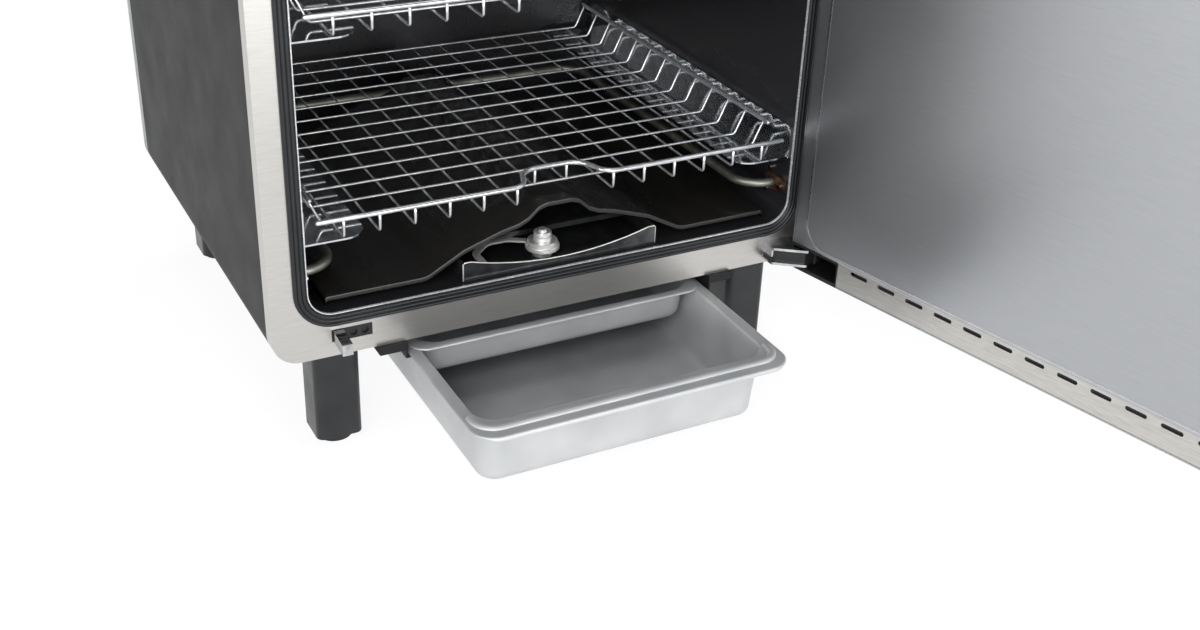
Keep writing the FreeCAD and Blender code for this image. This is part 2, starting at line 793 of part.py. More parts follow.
def make_baffle():
    """Folded deflector over the chip box: flat wings, two slopes and an arch in the middle."""
    low_y = FRONT + S["baffle_front"]
    high_y = CHAMBER_BACK - S["baffle_back_gap"]
    sheet_size = S["liner_sheet"]

    def section(name, drop, start, end, feet):
        upper = baffle_outline(as_size(0))
        lower = baffle_outline(drop)
        foot = OPEN_LOW + GAP
        right = list(upper)
        under = list(lower)
        if feet:
            edge = BAFFLE_HALF
            inside = (edge - sheet_size, lower[0][1])
            under = [(edge, foot), (edge - sheet_size, foot), inside] + lower[1:]
        corners = [(-x, z) for x, z in under] + list(reversed(under)) + right
        corners += [(-x, z) for x, z in reversed(right)]
        return prism(name, "xz", corners, start, end)

    plate = section("baffle_plate", sheet_size, low_y, high_y, True)
    lip = section("baffle_lip", S["baffle_lip"], low_y, low_y + sheet_size, False)
    node(fuse("baffle_sheet", [plate, lip]), "heat_baffle")


def make_probe():
    """Thermostat bulb on a clip on the back wall."""
    level = OPEN_HIGH - S["probe_drop"]
    across = S["probe_side_gap"] - OPEN_HALF
    long = S["probe_length"]
    bulb = rod("probe_bulb", "y", (across, CHAMBER_BACK - long - 2, level), 2.5, long)
    plate = rod("probe_plate", "y", (across, CHAMBER_BACK - 2.1, level), 9, 2)
    node(fuse("probe_body", [bulb, plate]), "temperature_probe")


# chip box

def make_chip_box():
    """Open tray with a scalloped front, a perforated lid, a turned knob and a strap handle."""
    half = S["chip_half_width"]
    low_y = FRONT + S["chip_front"]
    high_y = low_y + S["chip_length"]
    low = OPEN_LOW + GAP
    high = low + S["chip_height"]
    sheet_size = S["liner_sheet"]
    outer = box("chip_outer", (-half, low_y, low), (half, high_y, high))
    inner = box("chip_inner", (-half + sheet_size, low_y + sheet_size, low + sheet_size),
                (half - sheet_size, high_y - sheet_size, high + 1))
    chord = half - 6
    dip = S["chip_scallop"]
    radius = (chord * chord + dip * dip) / (dip * 2)
    scallop = rod("chip_scallop_tool", "y", (0, low_y - 2, high - dip + radius), radius, 4)
    node(cut("chip_box_tray", outer, [inner, scallop]), "chip_box")

    plate = box("lid_plate", (-half, low_y + S["lid_setback"], high), (half, high_y, high + sheet_size))
    lip = box("lid_lip", (-half + sheet_size * 2, low_y + S["lid_setback"], high - 3),
              (half - sheet_size * 2, low_y + S["lid_setback"] + sheet_size, high + sheet_size / 2))
    holes = []
    for column in range(4):
        for line in range(2):
            x = (column - 1.5) * 34
            y = low_y + S["lid_setback"] + 35 + line * 45
            holes.append(rod("lid_hole_%d_%d" % (column, line), "z", (x, y, high - 1), 4, 5))
    node(cut("chip_lid_sheet", fuse("chip_lid_blank", [plate, lip]), holes), "chip_box_lid")

    middle = FreeCAD.Vector(-8, low_y.amount + 17, (low + sheet_size).amount)
    wide = S["knob_radius"].amount
    tall = S["knob_height"].amount
    steps = ((0.72, 0), (0.72, 0.3), (1, 0.34), (1, 0.46), (0.92, 0.48), (0.92, 0.64), (0.58, 0.66), (0.58, 0.9),
             (0.34, 0.9), (0.34, 1))
    points = [middle] + [middle + FreeCAD.Vector(r * wide, 0, z * tall) for r, z in steps]
    points.append(middle + FreeCAD.Vector(0, 0, tall))
    face = Part.Face(Part.makePolygon(points + [middle]))
    node(plain("chip_knob_body", face.revolve(middle, FreeCAD.Vector(0, 0, 1), 360)), "chip_box_knob")

    level = (low + sheet_size).amount + 5.5
    wall = (low_y + sheet_size).amount
    a = FreeCAD.Vector(middle.x - wide * 0.72 - 1.2, middle.y + 7, level)
    b = FreeCAD.Vector(-44, middle.y + 15, level)
    c = FreeCAD.Vector(-62, wall + 0.1, level)
    node(plain("chip_strap_band", band(a, b, c, 1.6, 4)), "chip_box_strap")


def band(a, b, c, thick, tall):
    """A flat strip bent on edge along the arc through three points."""
    arc = Part.Arc(a, b, c).toShape().Curve
    centre = arc.Center
    rims = []
    for radius in (arc.Radius + thick / 2, arc.Radius - thick / 2):
        rims.append([centre + (p - centre).normalize() * radius for p in (a, b, c)])
    outer, inner = rims
    edges = [
        Part.Arc(*outer).toShape(),
        Part.LineSegment(outer[2], inner[2]).toShape(),
        Part.Arc(inner[2], inner[1], inner[0]).toShape(),
        Part.LineSegment(inner[0], outer[0]).toShape(),
    ]
    return Part.Face(Part.Wire(edges)).extrude(FreeCAD.Vector(0, 0, tall))


# door, drawn shut and then swung open about its hinge

AXIS_X = HALF - S["hinge_inset"]
AXIS_Y = FRONT - S["hinge_forward"]
DOOR_BACK = FRONT - S["door_gap"]
DOOR_FRONT = DOOR_BACK - S["door_thickness"]
FLANGE_Y = DOOR_BACK - S["emboss"]


def swing(thing, name):
    """Turn a door piece about the hinge pins to the angle at which the door stands."""
    holder = group(name + "_at_hinge", [thing])
    angle = S["door_angle"].text
    turn = "cos(%s * 1 deg)" % angle, "sin(%s * 1 deg)" % angle
    x, y = AXIS_X.text, AXIS_Y.text
    holder.Placement = FreeCAD.Placement(FreeCAD.Vector(), FreeCAD.Rotation(FreeCAD.Vector(0, 0, 1), 1))
    holder.setExpression("Placement.Rotation.Angle", "%s * 1 deg" % angle)
    holder.setExpression("Placement.Base.x", "%s - (%s * %s - %s * %s)" % (x, x, turn[0], y, turn[1]))
    holder.setExpression("Placement.Base.y", "%s - (%s * %s + %s * %s)" % (y, x, turn[1], y, turn[0]))
    node(holder, name)


def levels(upper, low, high):
    """Two heights counted from the cabinet's lower edge, or from its upper edge downwards."""
    if upper:
        return TOP - high, TOP - low
    return BASE + low, BASE + high


def make_door_skin():
    """Outer sheet of the door with its edges folded back, open where the corner caps sit."""
    outer = prism("door_outer", "xz", rectangle(-HALF, BASE, HALF, TOP), DOOR_FRONT, FLANGE_Y, S["door_corner"])
    inner = prism("door_inner", "xz", rectangle(-HALF + SKIN, BASE + SKIN, HALF - SKIN, TOP - SKIN),
                  DOOR_FRONT + SKIN, FLANGE_Y + 1, S["door_corner"] - SKIN)
    tools = [inner]
    for upper in (False, True):
        low, high = levels(upper, as_size(-1), S["strip_height"])
        for side in (-1, 1):
            near, far = HALF - S["cap_width"], HALF + 1
            x_pair = (near, far) if side > 0 else (-far, -near)
            tools.append(box("door_corner_%d_%d" % (upper, side), (x_pair[0], DOOR_FRONT + SKIN, low),
                             (x_pair[1], FLANGE_Y + 2, high)))
    swing(cut("door_skin_sheet", outer, tools), "door_skin")


def make_door_liner():
    """Inner sheet of the door with a large raised panel that meets the seal."""
    low = BASE + S["strip_height"]
    high = TOP - S["strip_height"]
    margin = S["emboss_margin"]
    x_edge = HALF - SKIN - GAP
    plate = box("liner_plate", (-x_edge, FLANGE_Y - SKIN, low), (x_edge, FLANGE_Y, high))
    face = HALF - margin
    step = 2.0
    raised = prism("liner_raised", "xz", rectangle(-face, low + step, face, high - step),
                   FLANGE_Y - 0.2, DOOR_BACK, S["emboss_corner"])
    hollow = prism("liner_hollow", "xz",
                   rectangle(-face + SKIN, low + step + SKIN, face - SKIN, high - step - SKIN),
                   FLANGE_Y - SKIN - 1, DOOR_BACK - SKIN, S["emboss_corner"] - SKIN)
    swing(cut("door_liner_sheet", fuse("door_liner_blank", [plate, raised]), [hollow]), "door_liner")


def make_door_strips():
    """Flat strips between the corner caps. The lower one has a row of rounded slots."""
    x_edge = HALF - S["cap_width"] - GAP
    for upper in (False, True):
        low, high = levels(upper, SKIN + GAP, S["strip_height"] - GAP)
        name = "door_strip_upper" if upper else "door_strip_lower"
        strip = box(name + "_sheet", (-x_edge, FLANGE_Y - SKIN, low), (x_edge, FLANGE_Y, high))
        if not upper:
            slots = []
            room = HALF * 2 - S["hinge_inset"] - S["slot_first"] - S["cap_width"] - 20
            count = int((room / S["slot_pitch"].amount).amount) + 1
            for number in range(count):
                x = AXIS_X - S["slot_first"] - S["slot_pitch"] * number
                half = S["slot_length"] / 2
                level = high - 3.6
                slots.append(prism("slot_%d" % number, "xz",
                                   rectangle(x - half, level - S["slot_width"] / 2, x + half, level + S["slot_width"] / 2),
                                   FLANGE_Y - SKIN - 1, FLANGE_Y + 1, S["slot_width"] / 2 - 0.05))
            strip = cut(name + "_cut", strip, slots + [catch_room("strip_notch")])
        swing(strip, name)


def catch_room(name):
    """Room for the catch bar in the door's lower edge when the door is shut."""
    return box(name, (-HALF + 38, FRONT - S["bar_length"] - 8, BASE + 6.5), (-HALF + 56, FLANGE_Y + 1, BASE + 21))


def hinge_notch(name, low, high):
    """Room in a corner cap for the hinge bracket over the whole swing."""
    corners = [(AXIS_X + x, AXIS_Y + y) for x, y in
               ((-35.5, 20), (-35.5, 7), (-12.5, -10), (-9, -14.3), (14, -14.3), (14, 20))]
    return prism(name, "xy", corners, low, high)


def make_door_caps():
    """Moulded corner blocks. Two turn on the hinge pins, and one takes the catch bar."""
    front = DOOR_FRONT + SKIN
    for upper in (False, True):
        for side in (-1, 1):
            end = "upper" if upper else "lower"
            name = "door_cap_%s_%s" % (end, "hinge" if side > 0 else "latch")
            low, high = levels(upper, as_size(0), S["strip_height"])
            low, high = (low + GAP, high) if upper else (low, high - GAP)
            near, far = HALF - S["cap_width"], HALF
            x_pair = (near, far) if side > 0 else (-far, -near)
            rounds = [None, None, None, None]
            rounds[(2 if side > 0 else 3) if upper else (1 if side > 0 else 0)] = S["door_corner"]
            block = prism(name + "_block", "xz", rectangle(x_pair[0], low, x_pair[1], high), front, FLANGE_Y, rounds)
            if side > 0:
                cut_low, cut_high = levels(upper, as_size(3), as_size(19.5))
                pin_low, pin_high = levels(upper, as_size(0.8), as_size(21.2))
                bore = rod(name + "_bore", "z", (AXIS_X, AXIS_Y, pin_low), S["pin_radius"] + S["pin_clearance"],
                           pin_high - pin_low)
                block = cut(name + "_moulding", block, [hinge_notch(name + "_notch", cut_low, cut_high), bore])
            elif not upper:
                block = cut(name + "_moulding", block, [catch_room(name + "_pocket")])
            swing(block, name)


def make_door_insulation():
    low = BASE + S["strip_height"] + 1
    high = TOP - S["strip_height"] - 1
    swing(box("door_batt", (-HALF + 3, DOOR_FRONT + SKIN + GAP, low), (HALF - 3, FLANGE_Y - SKIN - GAP, high)),
          "door_insulation")


def make_handle():
    """Upright bar handle on two posts, near the door's free edge."""
    x = -HALF + 34
    middle = (BASE + TOP) / 2
    half = S["handle_length"] / 2
    y = DOOR_FRONT - S["handle_standoff"]
    swing(rod("handle_rod", "z", (x, y, middle - half), S["handle_radius"], S["handle_length"]), "handle_bar")
    posts = []
    for sign in (-1, 1):
        level = middle + sign * (half - 24)
        post = rod("post_%d" % (sign + 1), "y", (x, y, level), 6, S["handle_standoff"])
        seat = rod("seat_%d" % (sign + 1), "z", (x, y, level - 12), S["handle_radius"] + 0.01, 24)
        posts.append(cut("post_cut_%d" % (sign + 1), post, [seat]))
    swing(group("posts", posts), "handle_posts")


# hinge and catch on the cabinet

def make_hinges():
    """Channel brackets on the front frame, each with a black core, that hold the hinge pins."""
    back = S["hinge_forward"]
    corners = [(-34, back), (-34, 8), (-11.5, -8), (3, -7.4), (8, -1), (7, 4), (-9.6, back)]
    rounds = [None, as_size(2), as_size(5), as_size(4), as_size(4), as_size(4), None]
    room = [(-32.4, back - 1.2), (-32.4, 9), (-40, 9), (-40, -14), (14, -14), (14, back - 1.2)]
    core = [(-32, back - 1.2), (-32, 9.4), (-12, -5.4), (-3.2, -5.2), (-3.2, 4.6), (-13, back - 1.2)]

    def place(points):
        return [(AXIS_X + x, AXIS_Y + y) for x, y in points]

    for upper in (False, True):
        end = "upper" if upper else "lower"
        low, high = levels(upper, as_size(4), as_size(18.5))
        blank = prism("hinge_blank_" + end, "xy", place(corners), low, high, rounds)
        room_low, room_high = levels(upper, as_size(6), as_size(16.5))
        hollow = prism("hinge_room_" + end, "xy", place(room), room_low, room_high)
        slot_low, slot_high = levels(upper, as_size(6), as_size(10))
        slot = box("hinge_slot_" + end, (AXIS_X - 36, AXIS_Y + 7.5, slot_low),
                   (AXIS_X - 30, AXIS_Y + (back - 1.2), slot_high))
        bore = rod("hinge_bore_" + end, "z", (AXIS_X, AXIS_Y, low - 1), S["pin_radius"], high - low + 2)
        node(cut("hinge_%s_bracket" % end, blank, [hollow, slot, bore]), "hinge_bracket_" + end)

        body = prism("hinge_core_body_" + end, "xy", place(core), room_low, room_high)
        sleeve = rod("hinge_sleeve_" + end, "z", (AXIS_X, AXIS_Y, room_low), S["pin_radius"] + 2.4,
                     room_high - room_low)
        plug = box("hinge_plug_" + end, (AXIS_X - 34.6, AXIS_Y + 8.5, slot_low),
                   (AXIS_X - 31, AXIS_Y + (back - 1.2), slot_high))
        through = rod("hinge_core_bore_" + end, "z", (AXIS_X, AXIS_Y, low - 1), S["pin_radius"], high - low + 2)
        filled = fuse("hinge_core_blank_" + end, [body, sleeve, plug])
        node(cut("hinge_core_cut_" + end, filled, [through]), "hinge_core_" + end)
        pin_low, pin_high = levels(upper, as_size(1), as_size(21))
        node(rod("hinge_rod_" + end, "z", (AXIS_X, AXIS_Y, pin_low), S["pin_radius"], pin_high - pin_low),
             "hinge_pin_" + end)


def make_catch():
    """Striker plate with two sockets, and the bar that the door's latch corner closes over."""
    x_high = CATCH_X + CATCH_WIDTH
    front = box("catch_face", (CATCH_X, FRONT + 0.8, BASE + 11), (x_high, FRONT + SKIN, BASE + 20.5))
    back = box("catch_back", (CATCH_X - 3, FRONT + SKIN, BASE + 8), (x_high + 3, FRONT + SKIN + 3, BASE + 22.5))
    sockets = []
    for number, x in enumerate((16, 24.3)):
        sockets.append(rod("catch_socket_%d" % number, "y", (CATCH_X + x, FRONT, BASE + 15.2), 2.7, 2.6))
    node(cut("catch_plate_moulding", fuse("catch_blank", [front, back]), sockets), "catch_plate")
    seat = FRONT + 0.8
    bar = prism("catch_bar_block", "yz",
                [(seat, BASE + 12), (seat, BASE + 20), (FRONT - S["bar_length"], BASE + 18.5),
                 (FRONT - S["bar_length"], BASE + 10)],
                CATCH_X + 1, CATCH_X + 1 + S["bar_width"])
    node(bar, "catch_bar")


# head

def make_head():
    """Control housing on the roof, with a dial, a rocker switch and a lamp."""
    half = S["head_width"] / 2
    low_y = FRONT + S["head_setback"]
    high_y = low_y + S["head_depth"]
    high = TOP + S["head_height"]
    outline = [(low_y, TOP), (low_y, high - 10), (low_y + 10, high), (high_y - 14, high), (high_y, high - 16), (high_y, TOP)]
    outer = prism("head_outer", "yz", outline, -half, half)
    room = box("head_room", (-half + 3, low_y + 3, TOP - 1), (half - 3, high_y - 3, high - 19))
    level = TOP + S["head_height"] / 2 - 2
    spindle = rod("head_spindle_hole", "y", (70, low_y - 1, level), 4.05, 6)
    rocker = box("head_rocker_hole", (-24.3, low_y - 1, level - 8.3), (0.3, low_y + 4, level + 8.3))
    lamp = rod("head_lamp_hole", "y", (-70, low_y - 1, level), 5, 6)
    gland = rod("head_gland_hole", "y", (-90, high_y - 4, TOP + 20), 6, 8)
    node(cut("head_moulding", outer, [room, spindle, rocker, lamp, gland]), "control_housing")

    grip = rod("dial_grip", "y", (70, low_y - 16, level), S["dial_radius"], 14)
    skirt = rod("dial_skirt", "y", (70, low_y - 4, level), S["dial_radius"] + 4, 3)
    spindle = rod("dial_spindle", "y", (70, low_y - 3, level), 4, 20)
    flutes = []
    for number in range(8):
        turn = number * math.pi / 4 + math.pi / 8
        radius = S["dial_radius"] + 1.6
        flutes.append(rod("dial_flute_%d" % number, "y",
                          (70 + radius * math.cos(turn), low_y - 17, level + radius * math.sin(turn)), 4, 12.5))
    node(cut("dial_body", fuse("dial_blank", [grip, skirt, spindle]), flutes), "temperature_dial")

    rocker = prism("rocker_body", "yz",
                   [(low_y + 3, level - 7.6), (low_y + 3, level + 7.6), (low_y - 4, level + 7), (low_y - 1.6, level),
                    (low_y - 2.2, level - 7)], as_size(-23.6), as_size(-0.4))
    pivot = rod("rocker_pivot", "x", (-23.6, low_y + 3, level), 2, 23.2)
    node(fuse("rocker_with_pivot", [rocker, pivot]), "power_switch")
    lens = rod("lens_body", "y", (-70, low_y - 2, level), 4.98, 5)
    node(lens, "indicator_lens")
    tube = rod("gland_tube", "y", (-90, high_y - 3.6, TOP + 20), 5.98, 3.6)
    ring = rod("gland_ring", "y", (-90, high_y, TOP + 20), 9, 6)
    bore = rod("gland_bore", "y", (-90, high_y - 5, TOP + 20), 3.6, 15)
    node(cut("gland_body", fuse("gland_blank", [tube, ring]), [bore]), "cord_gland")


def make_vent():
    """Smoke outlet through the roof, and the disc that is turned to close it."""
    x_y = (VENT_X, VENT_Y)
    radius = S["vent_radius"]
    top = TOP + S["vent_height"]
    tube = rod("vent_tube", "z", x_y + (OPEN_HIGH,), radius, top - OPEN_HIGH)
    collar = rod("vent_collar_ring", "z", x_y + (TOP,), radius + 7, 2)
    pin = rod("vent_pin", "z", x_y + (top - 1,), 2.5, 9)
    bore = rod("vent_bore", "z", x_y + (OPEN_HIGH - 1,), radius - 1.5, top - OPEN_HIGH - 1)
    orbit = 15

    def ports(name, low):
        tools = []
        for number in range(4):
            turn = number * math.pi / 2
            tools.append(rod("%s_port_%d" % (name, number), "z",
                             (x_y[0] + orbit * math.cos(turn), x_y[1] + orbit * math.sin(turn), low), 5.5, 8))
        return tools

    blank = fuse("vent_blank", [tube, collar, pin])
    node(cut("vent_collar_body", blank, [bore] + ports("collar", top - 5)), "vent_collar")
    disc = rod("damper_disc", "z", x_y + (top + GAP,), radius + 2, 2)
    tab = box("damper_tab", (x_y[0] - 3, x_y[1] - radius - 14, top + GAP), (x_y[0] + 3, x_y[1] - radius, top + GAP + 4))
    hole = rod("damper_hole", "z", x_y + (top - 1,), 2.55, 10)
    node(cut("damper_body", fuse("damper_blank", [disc, tab]), [hole] + ports("damper", top - 1)), "vent_damper")


for make in (make_front_frame, make_outer_shell, make_back_panel, make_base_pan, make_liner, make_gasket,
             make_insulation, make_legs, make_drain, make_tray, make_insert, make_runners, make_racks,
             make_supports, make_element, make_element_flanges, make_baffle, make_probe, make_chip_box,
             make_door_skin, make_door_liner, make_door_strips, make_door_caps, make_door_insulation,
             make_handle, make_hinges, make_catch, make_head, make_vent):
    make()

doc.recompute()

faults = []
for thing in doc.Objects:
    if "Invalid" in thing.State or "Error" in thing.State:
        faults.append("%s: %s" % (thing.Name, thing.State))
for thing in nodes:
    if thing.Shape.isNull() or not thing.Shape.isValid() or not thing.Shape.Solids:
        faults.append("%s has no sound shape" % thing.Label)
if faults:
    raise SystemExit("\n".join(faults))

os.makedirs("parts", exist_ok=True)
for thing in nodes:
    thing.Shape.exportStep("parts/%s.step" % thing.Label)
print("%d pieces" % len(nodes))
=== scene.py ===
"""Looks of a vertical electric smoker that stands open, with its grease drawer half out.

Lengths in the functions are millimetres, counted from the middle of the cabinet, back from its
front plane and up from its underside. at() turns such a place into the frame's metres.
"""

import math

import bmesh
import bpy
from bpy.props import FloatProperty, FloatVectorProperty, IntProperty, PointerProperty
from mathutils import Matrix, Vector


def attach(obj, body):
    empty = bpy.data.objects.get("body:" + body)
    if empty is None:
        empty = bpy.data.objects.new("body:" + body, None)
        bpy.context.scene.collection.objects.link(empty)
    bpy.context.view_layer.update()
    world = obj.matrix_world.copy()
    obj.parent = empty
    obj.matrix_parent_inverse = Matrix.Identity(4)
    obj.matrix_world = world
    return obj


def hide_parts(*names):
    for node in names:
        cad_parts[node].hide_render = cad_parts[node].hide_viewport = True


bl_info = {
    "name": "Electric smoker",
    "version": (1, 0, 0),
    "blender": (4, 5, 0),
    "location": "3D View > Sidebar > Smoker",
    "description": "Dresses the open electric smoker with its racks, drawer, heater and door",
    "category": "Object",
}

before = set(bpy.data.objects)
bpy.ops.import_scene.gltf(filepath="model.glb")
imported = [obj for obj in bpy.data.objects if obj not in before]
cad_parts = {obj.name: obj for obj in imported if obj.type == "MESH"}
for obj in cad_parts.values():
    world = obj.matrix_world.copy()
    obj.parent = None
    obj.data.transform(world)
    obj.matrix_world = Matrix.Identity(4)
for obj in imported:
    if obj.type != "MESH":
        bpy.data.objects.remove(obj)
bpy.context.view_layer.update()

MM = 0.001

# the cabinet's origin seen from the frame's, the hinge's line and how far the door stands open
FROM_FOOT = Vector((171.5, -29.0, 82.0))
HINGE = (209.5, -20.5)
DOOR_TURN = math.radians(103.4)

# the chamber's mouth and the door's raised panel: low x, low z, high x and high z
MOUTH = (-193.0, 34.0, 193.0, 606.0)
MOUTH_CORNER = 18.0
PANEL = (-207.5, 24.0, 207.5, 616.0)
PANEL_CORNER = 20.0

# racks
RACK_LEVELS = (88.7, 228.7, 368.7)
RACK_FRONT = 0.3
RACK_COLUMNS = 14
RACK_ROWS = 13
GRIP_HALF, GRIP_DEPTH = 32, 26
FRONT_RISE, SIDE_RISE = 13.9, 21.8
SIDE_RAIL, GRID_HALF, FRONT_RAIL_HALF = 182, 173, 184.6

# heater, chip box, knob and strap
HEATER_LEVEL = 59.5
CHIP_HALF, CHIP_TOP, CHIP_LOW, CHIP_FRONT = 78.0, 49.3, 34.8, 4.4
SCALLOP_HALF, SCALLOP_DIP = 72.0, 10.0
KNOB = (-8, 21, CHIP_LOW + 0.5)
STRAP_LEVEL = 45.2

# drawer, door handle, dial and back
TRAY_TOP = -9.8
HANDLE = (-186, -78.5, 320)
DIAL = (70, 664)
MARKS_DEPTH, POINTER_DEPTH = 19.85, 3.9
BACK_DEPTH = 376


def at(x, y, z):
    """A place on the cabinet, in the frame's metres."""
    return (Vector((x, y, z)) + FROM_FOOT) * MM


def on_door(x, y, z):
    """A place on the door, given with the door shut and turned to where it stands."""
    cos, sin = math.cos(DOOR_TURN), math.sin(DOOR_TURN)
    dx, dy = x - HINGE[0], y - HINGE[1]
    return at(HINGE[0] + dx * cos - dy * sin, HINGE[1] + dx * sin + dy * cos, z)


def linear(code):
    """An sRGB hex colour as linear red, green and blue."""
    parts = [int(code[i:i + 2], 16) / 255 for i in (1, 3, 5)]
    return tuple(c / 12.92 if c <= 0.04045 else ((c + 0.055) / 1.055) ** 2.4 for c in parts)


# meshes

def rounded_rectangle(low_u, low_v, high_u, high_v, radius, steps=8):
    """Points round a rectangle with rounded corners, as many for every radius."""
    radius = max(radius, 0.01)
    points = []
    corners = ((high_u - radius, low_v + radius, -90), (high_u - radius, high_v - radius, 0),
               (low_u + radius, high_v - radius, 90), (low_u + radius, low_v + radius, 180))
    for u, v, start in corners:
        for step in range(steps + 1):
            turn = math.radians(start + 90 * step / steps)
            points.append((u + radius * math.cos(turn), v + radius * math.sin(turn)))
    return points


def bend(points, radii, steps=6):
    """A path with its inner corners rounded to the given radii."""
    path = [points[0]]
    for before, corner, after, radius in zip(points, points[1:], points[2:], radii):
        inward, outward = (before - corner).normalized(), (after - corner).normalized()
        half = inward.angle(outward) / 2
        middle_way = (inward + outward).normalized()
        centre = corner + middle_way * (radius / math.sin(half))
        first = corner + inward * (radius / math.tan(half)) - centre
        last = corner + outward * (radius / math.tan(half)) - centre
        span = first.angle(last)
        for step in range(steps + 1):
            share = step / steps
            arm = first * math.sin((1 - share) * span) + last * math.sin(share * span)
            path.append(centre + arm / math.sin(span))
    path.append(points[-1])
    return path


def loft(rings, closed=True, joined=False, caps=True):
    """Faces between rings of as many points each. closed goes round a ring, joined meets the first."""
    count = len(rings[0])
    verts = [point for ring in rings for point in ring]
    faces = []
    for row in range(len(rings) if joined else len(rings) - 1):
        low, high = row * count, (row + 1) % len(rings) * count
        for i in range(count if closed else count - 1):
            j = (i + 1) % count
            faces.append((low + i, low + j, high + j, high + i))
    if caps and closed and not joined:
        faces.append(tuple(reversed(range(count))))
        faces.append(tuple(range(len(verts) - count, len(verts))))
    if caps and joined and not closed:
        faces.append(tuple(row * count for row in range(len(rings))))
        faces.append(tuple(row * count + count - 1 for row in reversed(range(len(rings)))))
    return verts, faces


def tube(path, radius, sides=12, domed=True):
    """A round bar along a path of metre points, with softly domed ends. radius is one or one a point."""
    radii = list(radius) if isinstance(radius, (list, tuple)) else [radius] * len(path)
    tangents = []
    for i in range(len(path)):
        tangents.append((path[min(i + 1, len(path) - 1)] - path[max(i - 1, 0)]).normalized())
    side = tangents[0].orthogonal().normalized()
    rings = []

    def ring(middle, tangent, reach):
        nonlocal side
        side = (side - tangent * side.dot(tangent)).normalized()
        other = tangent.cross(side)
        turns = [math.tau * k / sides for k in range(sides)]
        rings.append([middle + (side * math.cos(t) + other * math.sin(t)) * reach for t in turns])

    if domed:
        for share in (80, 50, 22):
            turn = math.radians(share)
            tip = path[0] + tangents[0] * radii[0] * (1 - math.sin(turn))
            ring(tip, tangents[0], radii[0] * math.cos(turn))
    first = 1 if domed else 0
    last = len(path) - 1 if domed else len(path)
    for i in range(first, last):
        ring(path[i], tangents[i], radii[i])
    if domed:
        for share in (22, 50, 80):
            turn = math.radians(share)
            ring(path[-1] - tangents[-1] * radii[-1] * (1 - math.sin(turn)), tangents[-1],
                 radii[-1] * math.cos(turn))
    return loft(rings)


def turned(profile, place, sides=48):
    """A turned form: a profile of radius and height round an upright line, closed at both ends."""
    rings = []
    for radius, height in profile:
        ring = []
        for k in range(sides):
            turn = math.tau * k / sides
            ring.append(place(radius * math.cos(turn), radius * math.sin(turn), height))
        rings.append(ring)
    return loft(rings)


def along(path, section):
    """Rings of a section of across and up, carried level along a path of millimetre points."""
    rings = []
    for i, middle in enumerate(path):
        ahead = (path[min(i + 1, len(path) - 1)] - path[max(i - 1, 0)]).normalized()
        side = Vector((ahead.y, -ahead.x, 0))
        rings.append([at(*(middle + side * across + Vector((0, 0, up)))) for across, up in section])
    return rings


def together(parts):
    """Several sets of points and faces as one."""
    verts, faces = [], []
    for some_verts, some_faces in parts:
        start = len(verts)
        verts += some_verts
        faces += [tuple(start + i for i in face) for face in some_faces]
    return verts, faces


def piece(name, shape, look, body, nodes=(), angle=40, soften=0.0):
    """Make one piece of the smoker and tie it to the frame."""
    mesh = bpy.data.meshes.new(name)
    mesh.from_pydata([tuple(v) for v in shape[0]], [], shape[1])
    work = bmesh.new()
    work.from_mesh(mesh)
    bmesh.ops.recalc_face_normals(work, faces=work.faces)
    work.to_mesh(mesh)
    work.free()
    mesh.materials.append(look)
    mesh.polygons.foreach_set("use_smooth", [True] * len(mesh.polygons))
    mesh.set_sharp_from_angle(angle=math.radians(angle))
    thing = bpy.data.objects.new(name, mesh)
    bpy.context.scene.collection.objects.link(thing)
    if soften:
        soft_edges(thing, soften)
    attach(thing, body)
    if nodes:
        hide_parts(*nodes)
    return thing


def soft_edges(thing, width, segments=2):
    """Round the sharp edges a little, so that they catch the light."""
    edge = thing.modifiers.new("soft_edges", "BEVEL")
    edge.width = width * MM
    edge.segments = segments
    edge.limit_method = "ANGLE"
    edge.angle_limit = math.radians(38)
    edge.harden_normals = True


def dress(look, nodes, soften=0.0):
    """Give the frame's own pieces their finish."""
    for name in nodes:
        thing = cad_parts[name]
        thing.data.materials.clear()
        thing.data.materials.append(look)
        if soften:
            soft_edges(thing, soften)


# looks

def add(tree, kind, feeds=None, **settings):
    """Add one node: settings are its own, feeds gives each input a value or the socket that feeds it."""
    node = tree.nodes.new(kind)
    for key, value in settings.items():
        setattr(node, key, value)
    for key, value in (feeds or {}).items():
        if isinstance(value, bpy.types.NodeSocket):
            tree.links.new(value, node.inputs[key])
        else:
            node.inputs[key].default_value = value
    return node


def begin(name):
    """A new material, its tree and its place coordinates in metres."""
    look = bpy.data.materials.new(name)
    look.use_nodes = True
    tree = look.node_tree
    tree.nodes.clear()
    return look, tree, add(tree, "ShaderNodeTexCoord").outputs["Object"]


def spread(tree, source, low, high, start=0.3, end=0.7):
    """A number from low to high as the source goes from start to end."""
    return add(tree, "ShaderNodeMapRange", {"Value": source, "From Min": start, "From Max": end,
                                            "To Min": low, "To Max": high}).outputs["Result"]


def shades(tree, source, *stops):
    """Colours along the source: each stop is a place and an sRGB code."""
    ramp = add(tree, "ShaderNodeValToRGB", {"Fac": source})
    band = ramp.color_ramp
    while len(band.elements) < len(stops):
        band.elements.new(0.5)
    for element, (place, code) in zip(band.elements, stops):
        element.position = place
        element.color = linear(code) + (1,)
    return ramp.outputs["Color"]


